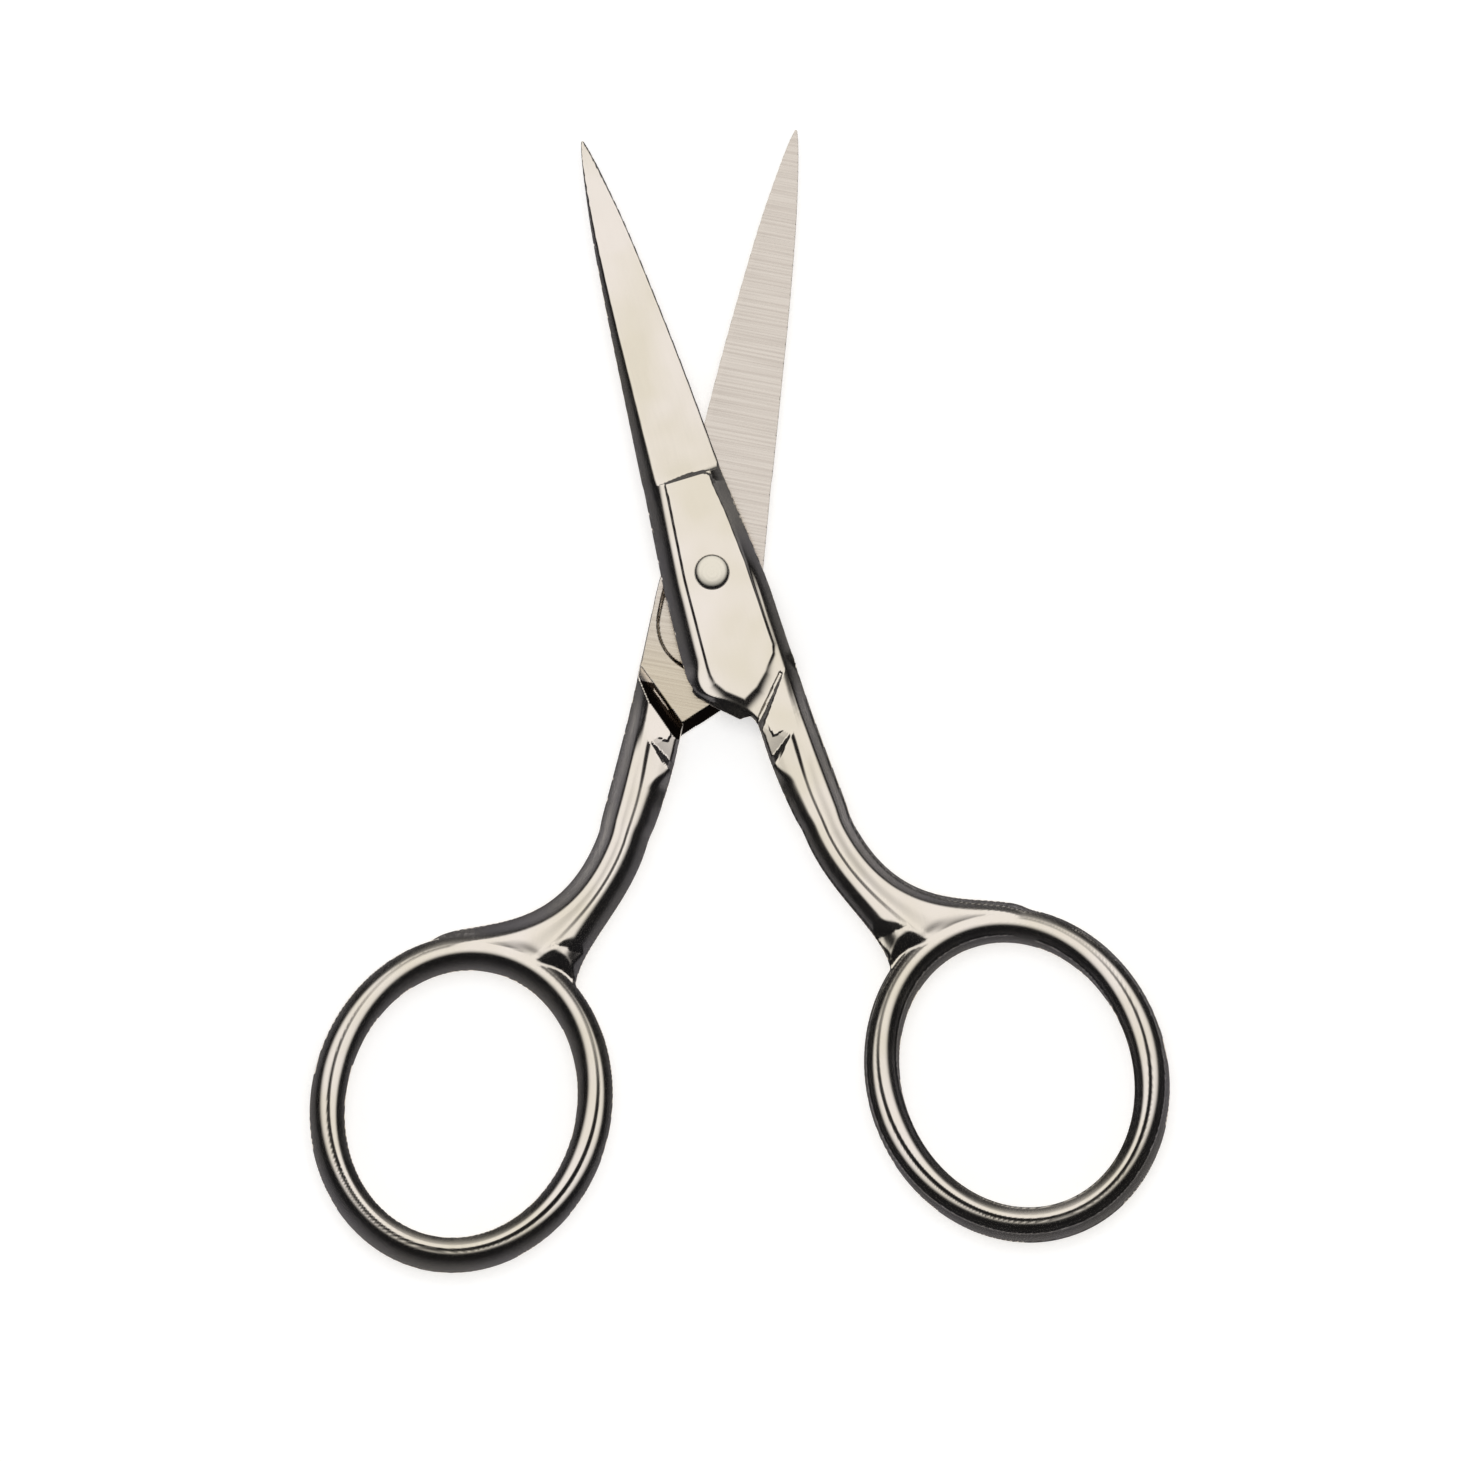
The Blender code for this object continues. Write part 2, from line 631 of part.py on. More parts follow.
def groove():
    """The deep V that parts box and shank on the outer face, widest at the inner side."""
    outer_end = foot_point(FOOT_REACH, SHANK_TOP_WIDTH * GROOVE_END_SHARE, 1.0)
    inner_end = foot_point(FOOT_REACH + GROOVE_SLANT, 0.0, 1.0)
    inner_end += (inner_end - outer_end).normalized() * OVERRUN
    widths = (GROOVE_WIDTH, GROOVE_WIDTH * GROOVE_TAPER_SHARE)
    depths = (GROOVE_DEPTH, GROOVE_DEPTH * GROOVE_TAPER_SHARE)
    return vee("groove", inner_end, outer_end, widths, depths, SHANK_THICKNESS / 2.0, 1.0)


def barb(face):
    """The short notch that gives the bead its barbed upper end."""
    peak = Vector((SHANK_TOP_WIDTH * BARB_PEAK_SHARE, -SHANK_TOP - BARB_DROP))
    turn = math.radians(BARB_ANGLE)
    tail = peak - Vector((math.cos(turn), math.sin(turn))) * BARB_LENGTH
    narrow, shallow = BARB_TAPER_SHARES
    widths = (BARB_WIDTH * narrow, BARB_WIDTH)
    depths = (BARB_DEPTH * shallow, BARB_DEPTH)
    return vee("barb", peak, tail, widths, depths, SHANK_THICKNESS / 2.0, face)


def notch(face):
    """The notch that parts the shank's bead from the finger ring."""
    inner_end = ring_point(RING_JOIN_INNER - NOTCH_TURN, RING_WIRE / 2.0 + OVERRUN)
    towards = (ring_point(NOTCH_AIM, RING_WIRE / 2.0) - inner_end).normalized()
    outer_end = inner_end + towards * (NOTCH_LENGTH + OVERRUN)
    widths = (NOTCH_WIDTH, NOTCH_WIDTH * NOTCH_TAPER_SHARE)
    depths = (NOTCH_DEPTH, NOTCH_DEPTH * NOTCH_TAPER_SHARE)
    return vee("notch", inner_end, outer_end, widths, depths, RING_THICKNESS / 2.0, face)


def turned(name, points):
    """A solid turned round the rivet's axis from (radius, height) pairs, top to bottom."""
    rings = []
    for radius, height in points:
        ring_points = []
        for step in range(ROUND_STEPS):
            turn = 2.0 * math.pi * step / ROUND_STEPS
            ring_points.append(Vector((radius * math.cos(turn), radius * math.sin(turn), height)))
        rings.append(ring_points)
    return new_object(name, skin(rings))


def bore(with_flare):
    """Cutter for the rivet's hole, flared at the pad where the tail is peened."""
    radius = RIVET_DIAMETER / 2.0 + RIVET_CLEARANCE
    points = [(radius, PAD_TOP + OVERRUN), (radius, -OVERRUN)]
    if with_flare:
        wide = radius + TAIL_FLARE
        points = [(wide, PAD_TOP + OVERRUN), (wide, PAD_TOP), (radius, PAD_TOP - TAIL_DEPTH),
                  (radius, -OVERRUN)]
    return turned("bore", points)


def scissor_half(name, is_rear):
    """One forged half, drawn in its own frame and then carved and bored."""
    half = bar()
    half.name = name
    combine(half, pad(), "UNION")
    combine(half, ring(), "UNION")
    if is_rear:
        combine(half, web(), "UNION")
    combine(half, seat(), "DIFFERENCE")
    combine(half, foot_face(), "DIFFERENCE")
    combine(half, hollow(), "DIFFERENCE")
    combine(half, groove(), "DIFFERENCE")
    for face in (1.0, -1.0):
        combine(half, barb(face), "DIFFERENCE")
        combine(half, notch(face), "DIFFERENCE")
    combine(half, bore(is_rear), "DIFFERENCE")
    return half


def rivet():
    """The pivot: a low round head in front, a plain shaft and a tail peened flush behind."""
    shaft = RIVET_DIAMETER / 2.0
    head = HEAD_DIAMETER / 2.0
    seat_height = SHEAR_PLANE + PAD_TOP + RIVET_CLEARANCE
    dome = HEAD_HEIGHT - HEAD_RIM
    points = []
    for degrees in DOME_TURNS:
        turn = math.radians(degrees)
        points.append((head * math.sin(turn), seat_height + HEAD_RIM + dome * math.cos(turn)))
    points += [(head, seat_height + HEAD_RIM / 2.0), (head, seat_height), (shaft, seat_height)]
    points += [(shaft, TAIL_DEPTH), (shaft + TAIL_FLARE, 0.0)]
    return turned("pivot_rivet", points)


def finish(thing, material):
    """Give a piece its material and smooth shading with sharp creases."""
    thing.data.materials.clear()
    thing.data.materials.append(material)
    thing.data.shade_smooth()
    thing.data.set_sharp_from_angle(angle=math.radians(CREASE_TURN))


def build():
    """Make the three pieces and set them in the photographed pose."""
    clear_scene()
    lift = Matrix.Translation(Vector((0.0, 0.0, SHEAR_PLANE)))
    swing = math.radians(HALF_OPENING)
    front = scissor_half("front_half", False)
    front.matrix_world = lift @ Matrix.Rotation(swing, 4, "Z")
    rear = scissor_half("rear_half", True)
    rear.matrix_world = lift @ Matrix.Rotation(-swing, 4, "Z") @ Matrix.Rotation(math.pi, 4, "Y")
    pin = rivet()
    finish(front, polished_metal("polished_nickel_front", FORGED_ROUGHNESS))
    finish(rear, polished_metal("polished_nickel_rear", FORGED_ROUGHNESS))
    finish(pin, polished_metal("turned_steel", RIVET_ROUGHNESS))


build()
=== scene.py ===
"""Facial hair scissors: two forged, polished halves on a rivet, lying on a pale floor."""

import math
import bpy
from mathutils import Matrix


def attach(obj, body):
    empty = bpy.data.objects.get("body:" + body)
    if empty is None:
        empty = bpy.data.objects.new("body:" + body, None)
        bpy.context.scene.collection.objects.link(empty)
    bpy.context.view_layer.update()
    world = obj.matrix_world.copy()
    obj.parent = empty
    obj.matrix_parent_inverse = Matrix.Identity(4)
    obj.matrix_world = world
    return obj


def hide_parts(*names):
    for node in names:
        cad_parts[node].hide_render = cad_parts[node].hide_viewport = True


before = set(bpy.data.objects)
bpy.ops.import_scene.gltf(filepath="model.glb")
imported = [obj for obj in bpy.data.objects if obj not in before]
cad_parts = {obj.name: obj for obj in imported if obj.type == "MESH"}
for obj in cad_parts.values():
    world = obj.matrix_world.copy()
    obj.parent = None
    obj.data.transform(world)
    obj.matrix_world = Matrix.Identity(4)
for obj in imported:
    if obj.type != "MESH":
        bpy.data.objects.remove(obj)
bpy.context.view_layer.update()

from types import SimpleNamespace

import bmesh
import bpy
import numpy as np
from bpy.props import FloatProperty, FloatVectorProperty, PointerProperty
from mathutils import Matrix, Vector

bl_info = {
    "name": "Facial hair scissors",
    "version": (1, 0, 0),
    "blender": (4, 5, 0),
    "location": "View3D > Sidebar > Scissors",
    "description": "Builds polished facial hair scissors around their packed model",
    "category": "Add Mesh",
}

# Blade outline: share of the way from tip to root, share of the spine's or the edge's offset
SPINE_SHARES = ((0, 0), (0.04, 0.09), (0.12, 0.22), (0.27, 0.41), (0.50, 0.625), (0.73, 0.80),
                (1, 1))
EDGE_SHARES = ((0, 0), (0.04, 0.10), (0.12, 0.24), (0.27, 0.45), (0.50, 0.67), (0.73, 0.845),
               (1, 1))
# Sides of the box below the rivet: share of the way to the shank, share of the side's offset
INNER_SIDE_SHARES = ((0, 0.930), (0.18, 0.955), (0.35, 0.982), (0.52, 1), (0.61, 0.990),
                     (0.685, 0.900), (0.755, 0.735), (0.83, 0.400), (0.895, 0.180),
                     (0.95, 0.060), (1, 0))
OUTER_SIDE_SHARES = ((0, 0.935), (0.18, 0.985), (0.36, 1))
# The pad's foot and its rounded upper corner, in shares of the pad's width, foot and margin
PAD_FOOT_SHARES = ((1.00, 0.64), (0.975, 0.71), (0.81, 0.835), (0.62, 0.93), (0.38, 1.00),
                   (0.13, 0.89), (0.015, 0.80), (0.00, 0.73))
PAD_CORNER_SHARES = ((0.75, 0.00), (0.30, 0.14), (0.06, 0.45), (0.00, 0.90))
# The bend's two edges: handles at the neck and at the ring, in shares of the bend's drop
INNER_BEND_SHARES = ((0.067, 0.596), (0.136, -0.378))
OUTER_BEND_SHARES = ((0.215, 1.054), (-0.154, -0.401))
# The cove's rim beside the barb, in shares of the shank's width and of its top's place
COVE_SHARES = ((0.455, 1.075), (0.310, 1.083), (0.235, 1.085), (0.205, 1.060), (0.187, 1.010),
               (0.180, 0.960))
RING_JOIN_TURNS = (127.0, 58.0)
RING_JOIN_SHARES = (0.45, 0.67)


def length(name, default, description):
    """A size in metres."""
    return FloatProperty(name=name, description=description, default=default, unit="LENGTH",
                         precision=5)


def colour(name, default, description):
    """A colour, given as an sRGB hex value."""
    return FloatVectorProperty(name=name, description=description, default=linear(default),
                               subtype="COLOR", size=3, min=0.0, max=1.0)


def linear(hex_value):
    """Turn an sRGB hex value into linear red, green and blue."""
    parts = [int(hex_value[i:i + 2], 16) / 255.0 for i in (1, 3, 5)]
    return [p / 12.92 if p <= 0.04045 else ((p + 0.055) / 1.055) ** 2.4 for p in parts]


class ScissorSizes(bpy.types.PropertyGroup):
    """Sizes of the scissors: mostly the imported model's, and a few set for the look."""

    opening: FloatProperty(name="Half opening", description="Turn of each half from the middle",
                           default=math.radians(13.78), subtype="ANGLE")
    blade_reach: length("Blade reach", 0.0341, "From the rivet to the tip")
    blade_root: length("Blade root", 0.0074, "From the rivet to the step")
    spine_offset: length("Spine offset", 0.00316, "Spine from the axis, at the root")
    edge_offset: length("Edge offset", 0.00286, "Cutting edge from the axis, at the root")
    tip_width: length("Tip width", 0.00018, "Width of the point")
    spine_thickness: length("Spine thickness", 0.00145, "Blade at the root, along the spine")
    tip_thickness: length("Tip thickness", 0.00050, "Blade at the point")
    edge_thickness: length("Edge thickness", 0.00030, "Blade at the root, along the edge")
    spine_bevel: length("Spine bevel", 0.00110, "Width of the spine's bevel at the root")
    root_fillet: length("Root fillet", 0.00055, "Radius between blade and step")
    hollow_depth: length("Hollow depth", 0.00012, "Depth of the hollow inside the blade")
    hollow_rim: length("Hollow rim", 0.00038, "Flat land left beside the hollow")
    hollow_runout: length("Hollow run-out", 0.0077, "From the rivet to the hollow's end")
    box_thickness: length("Box thickness", 0.00172, "Each half at the pad")
    box_inner_offset: length("Box inner side", 0.00415, "Widest inner side from the axis")
    box_outer_offset: length("Box outer side", 0.00392, "Widest outer side from the axis")
    inner_gap: length("Inner gap", 0.00008, "Play between the two inner faces")
    side_rounding: length("Side rounding", 0.00128, "Rounding of the box's sides")
    pad_step: length("Pad step", 0.00014, "Height of the pad over the box")
    pad_inner_margin: length("Pad inner margin", 0.00162, "Pad from the inner side")
    pad_outer_margin: length("Pad outer margin", 0.00082, "Pad from the outer side")
    pad_foot_margin: length("Pad foot margin", 0.00104, "Pad from the outer side, at its foot")
    pad_foot: length("Pad foot", 0.0103, "From the rivet to the pad's foot")
    ledge_drop: length("Ledge drop", 0.00012, "Ledge beside the pad, under the box's top")
    shank_top: length("Shank top", 0.0121, "From the rivet to the shank")
    shank_top_width: length("Shank top width", 0.00418, "Shank where it leaves the box")
    shank_thickness: length("Shank thickness", 0.00310, "Shank from front to back")
    neck_down: length("Neck down", 0.0215, "From the rivet to the bend")
    neck_out: length("Neck out", 0.00482, "Outer edge of the neck from the axis")
    neck_width: length("Neck width", 0.00384, "Shank where it starts to bend")
    bend_drop: length("Bend drop", 0.00876, "From the neck to the ring")
    shank_rounding: length("Shank rounding", 0.00078, "Rounding of the shank's edges")
    bead_rise: length("Bead rise", 0.00015, "Height of the bead on the shank")
    crest_step: length("Crest step", 0.00009, "Step along the crest of the ring")
    foot_reach: length("Foot reach", 0.0084, "From the rivet to the slanted foot")
    foot_run: length("Foot run", 0.0010, "Lean of the foot's face")
    foot_clearance: length("Foot clearance", 0.00012, "Play between foot and shoulder")
    web_height: length("Web height", 0.00135, "Height of the rear foot's web")
    web_lean: length("Web lean", 0.00045, "Lean of the web's outer face")
    groove_slant: length("Groove slant", 0.00040, "Slant of the V groove")
    groove_width: length("Groove width", 0.00120, "V groove at its wide end")
    groove_depth: length("Groove depth", 0.00043, "V groove at its deep end")
    barb_drop: length("Barb drop", 0.00112, "Barb's peak below the shank's top")
    hole_width: length("Hole width", 0.01740, "Finger hole across")
    hole_length: length("Hole length", 0.02038, "Finger hole along")
    ring_wire: length("Ring wire", 0.00270, "Width of the ring's wire")
    ring_thickness: length("Ring thickness", 0.00262, "Ring from front to back")
    ring_inset: length("Ring inset", 0.00028, "Ring past the middle line")
    notch_length: length("Notch length", 0.0036, "Notch between bead and ring")
    notch_depth: length("Notch depth", 0.00100, "Depth of the notch")
    rivet_diameter: length("Rivet", 0.00190, "Rivet shaft")
    rivet_clearance: length("Rivet clearance", 0.00004, "Play round the shaft")
    head_diameter: length("Rivet head", 0.00270, "Rivet head")
    head_height: length("Head height", 0.00048, "Height of the rivet head")
    head_rim: length("Head rim", 0.00014, "Upright rim of the head")
    tail_flare: length("Tail flare", 0.00030, "Flare of the peened tail")
    tail_depth: length("Tail depth", 0.00045, "Depth of that flare")
    edge_break: length("Edge break", 0.00011, "How far polishing rounds each edge")
    mesh_step: length("Mesh step", 0.000148, "Spacing of the sculpted mesh")


class ScissorColours(bpy.types.PropertyGroup):
    """Colours of the scissors and of what they lie on."""

    nickel: colour("Nickel", "#EEE5DC", "Bright nickel plate, seen straight on")
    aged_nickel: colour("Aged nickel", "#E4DBCA", "Nickel plate where it has yellowed")
    steel: colour("Ground steel", "#DDD4CA", "Bare ground steel inside the blades")
    scored_steel: colour("Scored steel", "#D3C9BF", "The same steel down in the wheel marks")
    stain: colour("Stain", "#C4B283", "Yellowed steel beside the foot")
    # Painted shade: a near-black colour laid on the shoulder's wall and the foot in place of
    # their dark reflections
    painted_shade: colour("Painted shade", "#2E2620", "Painted shade on the milled foot and shoulder")
    rivet: colour("Rivet", "#E8E1D2", "Turned steel rivet")
    floor: colour("Floor", "#FFFFFF", "Floor and backdrop")


# Shared shaping tools


def blend(low, high, share):
    """The value that lies the given share of the way from low to high."""
    return low + (high - low) * share


def fade(start, end, value):
    """Rise smoothly from 0 at start to 1 at end."""
    share = np.clip((value - start) / (end - start), 0.0, 1.0)
    return share * share * (3.0 - 2.0 * share)


def smooth_max(a, b, radius):
    """The larger of two fields, rounded where they meet."""
    share = np.clip(0.5 + 0.5 * (a - b) / radius, 0.0, 1.0)
    return b + (a - b) * share + radius * share * (1.0 - share)


def smooth_min(a, b, radius):
    """The smaller of two fields, with a fillet where they meet."""
    return -smooth_max(-a, -b, radius)


def smooth_curve(rows, place):
    """Read rows of (place, value) on a smooth curve through them."""
    at = np.array([row[0] for row in rows], float)
    value = np.array([row[1] for row in rows], float)
    before = np.concatenate([[0], np.arange(len(at) - 1)])
    after = np.concatenate([np.arange(1, len(at)), [len(at) - 1]])
    slope = (value[after] - value[before]) / (at[after] - at[before])
    place = np.clip(place, at[0], at[-1])
    i = np.clip(np.searchsorted(at, place, side="right") - 1, 0, len(at) - 2)
    span = at[i + 1] - at[i]
    t = (place - at[i]) / span
    rise = (3.0 - 2.0 * t) * t * t
    bend = t * (1.0 - t) * (1.0 - t) * slope[i] + t * t * (t - 1.0) * slope[i + 1]
    return value[i] + (value[i + 1] - value[i]) * rise + bend * span


def polygon_depth(points, x, y):
    """Distance inside a polygon's outline, negative outside it."""
    nearest = np.full(x.shape, np.inf)
    inside = np.zeros(x.shape, bool)
    for (ax, ay), (bx, by) in zip(points, points[1:] + points[:1]):
        dx, dy = bx - ax, by - ay
        t = np.clip(((x - ax) * dx + (y - ay) * dy) / (dx * dx + dy * dy), 0.0, 1.0)
        nearest = np.minimum(nearest, (x - ax - t * dx) ** 2 + (y - ay - t * dy) ** 2)
        if ay != by:
            inside ^= ((ay > y) != (by > y)) & (x < ax + (y - ay) * dx / dy)
    return np.sqrt(nearest) * np.where(inside, 1.0, -1.0)


def curve_side(points, x, y):
    """Signed distance to the left of a cubic curve, and the place of its nearest point."""
    p = np.array(points, float)
    a, b, c = p[3] - 3 * p[2] + 3 * p[1] - p[0], 3 * (p[2] - 2 * p[1] + p[0]), 3 * (p[1] - p[0])
    starts = np.linspace(0.0, 1.0, 25)
    spots = ((a * starts[:, None] + b) * starts[:, None] + c) * starts[:, None] + p[0]
    gap = (x[:, None] - spots[:, 0]) ** 2 + (y[:, None] - spots[:, 1]) ** 2
    t = starts[gap.argmin(1)]
    for _ in range(4):
        q = [((a[k] * t + b[k]) * t + c[k]) * t + p[0][k] for k in (0, 1)]
        d = [(3 * a[k] * t + 2 * b[k]) * t + c[k] for k in (0, 1)]
        e = [6 * a[k] * t + 2 * b[k] for k in (0, 1)]
        off = [q[0] - x, q[1] - y]
        slope = d[0] ** 2 + d[1] ** 2 + off[0] * e[0] + off[1] * e[1]
        step = (off[0] * d[0] + off[1] * d[1]) / np.where(slope > 0, slope, np.inf)
        t = np.clip(t - np.clip(step, -0.1, 0.1), -0.1, 1.3)
    q = [((a[k] * t + b[k]) * t + c[k]) * t + p[0][k] for k in (0, 1)]
    d = [(3 * a[k] * t + 2 * b[k]) * t + c[k] for k in (0, 1)]
    across = d[0] * (y - q[1]) - d[1] * (x - q[0])
    return across / np.hypot(d[0], d[1]), t


# The forged half as one smooth field, negative inside the metal

# Turn of the ring and of the slanted foot, and the ring crest's offset in half wires
RING_LEAN = math.radians(4.0)
FOOT_TURN = math.radians(43.3)
RING_CREST = 0.38
# From this far above the neck the straight sides blend into the bend's
NECK_BLEND = 0.0018
# Direction in which the barb's flank runs down, and how much rounder the rear shank is
BARB_AIM = (-0.67, -0.742)
REAR_ROUNDER = 1.35
# The field away from the metal, and the steps by which slopes in plan and in space are taken
OUTSIDE = 0.002
PLAN_STEP = 0.00005
FIELD_STEP = 0.00002
# How far beyond an outline's ends its depth is worked out
OUTLINE_MARGIN = 0.001
# Where a blade's bevelled spine turns into the box's rounded side, past the root
SPINE_RUN = 0.0025
# The step from blade to box: its slow rise's share, and where its steep rise lies in the fillet
STEP_SLOW = 0.22
STEP_STEEP = (0.84, 0.96)
# Ranges below the rivet, in shares of the way to the shank's top
FOOT_RANGE = (0.50, 0.74)
LOWER_RANGE = (0.58, 1.0)
SHANK_RANGE = (0.72, 1.05)
SHANK_ROUNDING_RANGE = (0.98, 1.10)
SCOOP_RANGE = (0.98, 1.04)
SCOOP_END_RANGE = (1.25, 1.42)
BEAD_RANGE = (1.06, 1.13)
CREASE_RANGE = (1.08, 1.55)
# The crease between bead and facet, in shares of the shank's width, at both ends of its range
CREASE_SHARES = (0.535, 0.460)
# The valley beside the ring's crest: its middle and spread, in wires and in degrees, its depth
VALLEY_GROWTH = (0.40, 0.16)
VALLEY_TURN = (103.0, 9.0)
VALLEY_DEPTH = 0.08
# The cove: slope of its floor down the flank, its limit in notch depths, slopes of its walls
COVE_SINK = 0.17
COVE_LIMIT = 0.6
COVE_BARB_WALL = 0.80
COVE_RIM_WALL = 0.70
# The low step up beyond the V groove: its slope, and its height at both ends in groove depths
SWELL_SLOPE = 0.74
SWELL_HEIGHTS = (0.80, 0.25)
# The notch: its mouth and point from the ring's join in notch lengths, its depths and slopes
NOTCH_MOUTH = (-0.55, 0.42)
NOTCH_POINT = (0.28, 0.53)
NOTCH_DEPTHS = (0.64, 0.04)
NOTCH_SLOPES = (0.29, 0.12)
# The slope by which the bar sinks into the ring, and its height in ring thicknesses, before and
# past a range of turns
RAMP_TURNS = (103.0, 118.0)
RAMP_SLOPES = (0.24, 0.50)
RAMP_HEIGHTS = (0.48, 0.18)
# Slopes of the pad's wall: along its sides, round its foot and at the root
PAD_SLOPES = (0.87, 0.42, 2.5)
# The V groove: depths at both ends in groove depths, slopes of its walls, bed in groove widths
GROOVE_DEPTHS = (0.30, 0.12)
GROOVE_SLOPES = (1.4, 0.70)
GROOVE_BED = 0.14
# The hollow starts this far from the tip, and deepens over this stretch before its end
HOLLOW_START = 0.0015
HOLLOW_DEEPENING = (-0.001, 0.006)


def ring_centre(size):
    """The ring's centre, and the half axes of its wire's middle line."""
    out = size.hole_width / 2 + size.ring_wire - size.ring_inset
    down = size.neck_down + size.bend_drop + size.ring_wire + size.hole_length / 2
    across = (size.hole_width + size.ring_wire) / 2
    along = (size.hole_length + size.ring_wire) / 2
    return out, -down, across, along


def ring_spot(size, degrees, grow):
    """Plan point on the ring's middle line, grown outwards."""
    x, y, across, along = ring_centre(size)
    a = (across + grow) * math.cos(math.radians(degrees))
    b = (along + grow) * math.sin(math.radians(degrees))
    c, s = math.cos(RING_LEAN), math.sin(RING_LEAN)
    return x + c * a - s * b, y + s * a + c * b


def ring_growth(size, x, y):
    """How far a plan point lies outside the ring's middle line, and its angle round the ring."""
    x0, y0, across, along = ring_centre(size)
    c, s = math.cos(RING_LEAN), math.sin(RING_LEAN)
    a = c * (x - x0) + s * (y - y0)
    b = -s * (x - x0) + c * (y - y0)
    stretch = np.maximum(np.hypot(a / across, b / along), 0.3)
    grow = np.hypot(a, b) * (1.0 - 1.0 / stretch)
    for _ in range(4):
        p, q = across + grow, along + grow
        miss = (a / p) ** 2 + (b / q) ** 2 - 1.0
        slope = 2.0 * (a * a / p ** 3 + b * b / q ** 3)
        grow = np.clip(grow + miss / np.maximum(slope, 1.0), -0.6 * across, 10.0 * across)
    return grow, np.degrees(np.arctan2(b / (along + grow), a / (across + grow)))


def blade_share(size, y):
    """Share of the way from the tip to the root."""
    run = size.blade_reach - size.blade_root - size.root_fillet
    return np.clip((size.blade_reach - y) / run, 0.0, 1.0)


def straight_edges(size, y):
    """X of the inner and the outer silhouette, from the tip down to the neck."""
    t = blade_share(size, y)
    spine = -blend(size.tip_width / 2, size.spine_offset, smooth_curve(SPINE_SHARES, t))
    edge = blend(size.tip_width / 2, size.edge_offset, smooth_curve(EDGE_SHARES, t))
    inner = [(-size.blade_root, -size.spine_offset)]
    inner += [(down * size.shank_top, -out * size.box_inner_offset)
              for down, out in INNER_SIDE_SHARES]
    outer = [(-size.blade_root, size.edge_offset)]
    outer += [(down * size.shank_top, out * size.box_outer_offset)
              for down, out in OUTER_SIDE_SHARES]
    outer += [(size.shank_top, size.shank_top_width), (size.neck_down, size.neck_out)]
    run = np.clip((-y - size.shank_top) / (size.neck_down - size.shank_top), 0.0, None)
    shank = (size.neck_out - size.neck_width) * run ** 2
    on_blade = y > size.blade_root
    left = np.where(on_blade, spine, np.where(-y > size.shank_top, shank,
                                              smooth_curve(inner, -y)))
    return left, np.where(on_blade, edge, smooth_curve(outer, -y))


def bend_curves(size):
    """Control points of the bend's inner and outer silhouette."""
    curves = []
    starts = (size.neck_out - size.neck_width, size.neck_out)
    for x, turn, share, handles in zip(starts, RING_JOIN_TURNS, RING_JOIN_SHARES,
                                       (INNER_BEND_SHARES, OUTER_BEND_SHARES)):
        end = ring_spot(size, turn, share * size.ring_wire / 2)
        moved = [(out * size.bend_drop, -down * size.bend_drop) for out, down in handles]
        curves.append([(x, -size.neck_down),
                       (x + moved[0][0], -size.neck_down + moved[0][1]),
                       (end[0] + moved[1][0], end[1] + moved[1][1]), end])
    return curves


def pad_outline(size):
    """The raised pad's outline in plan."""
    middle = 0.55 * size.blade_root
    heights = (0.0, middle, size.blade_root)
    left, right = straight_edges(size, np.array(heights))
    points = [(x + size.pad_inner_margin, y) for x, y in zip(left, heights)]
    corner = right[2] - size.pad_outer_margin
    points += [(corner - a * size.pad_outer_margin, size.blade_root - b * size.pad_outer_margin)
               for a, b in PAD_CORNER_SHARES]
    points.append((right[1] - size.pad_outer_margin, middle))
    points.append((right[0] - (size.pad_outer_margin + size.pad_foot_margin) / 2, 0.0))
    foot = -size.pad_foot * PAD_FOOT_SHARES[0][1]
    left, right = straight_edges(size, np.array([foot]))
    low, high = left[0] + size.pad_inner_margin, right[0] - size.pad_foot_margin
    points += [(blend(low, high, a), -b * size.pad_foot) for a, b in PAD_FOOT_SHARES]
    return points


def web_outline(size):
    """Plan outline of the web that keeps the rear half's foot full."""
    reach = size.foot_reach + size.foot_run
    down, out = INNER_SIDE_SHARES[3]
    side, start = -out * size.box_inner_offset, -down * size.shank_top
    sine, cosine = math.sin(FOOT_TURN), math.cos(FOOT_TURN)
    tip = size.edge_break / 3
    return [(side, start), (side, -(side * sine + reach) / cosine),
            (tip, -(tip * sine + reach) / cosine), (size.shank_rounding, -size.shank_top),
            (side + size.pad_inner_margin, start)]


def cove_outline(size):
    """Plan outline of the cove beside the barb, open on the inner side and below."""
    peak = barb_line(size)[0]
    top, wide = size.shank_top, size.shank_top_width
    rim = [(out * wide, -down * top) for out, down in COVE_SHARES]
    return [tuple(peak), *rim, (-wide, rim[-1][1]), (-wide, -1.6 * top), (wide, -1.6 * top),
            (wide, peak.y)]


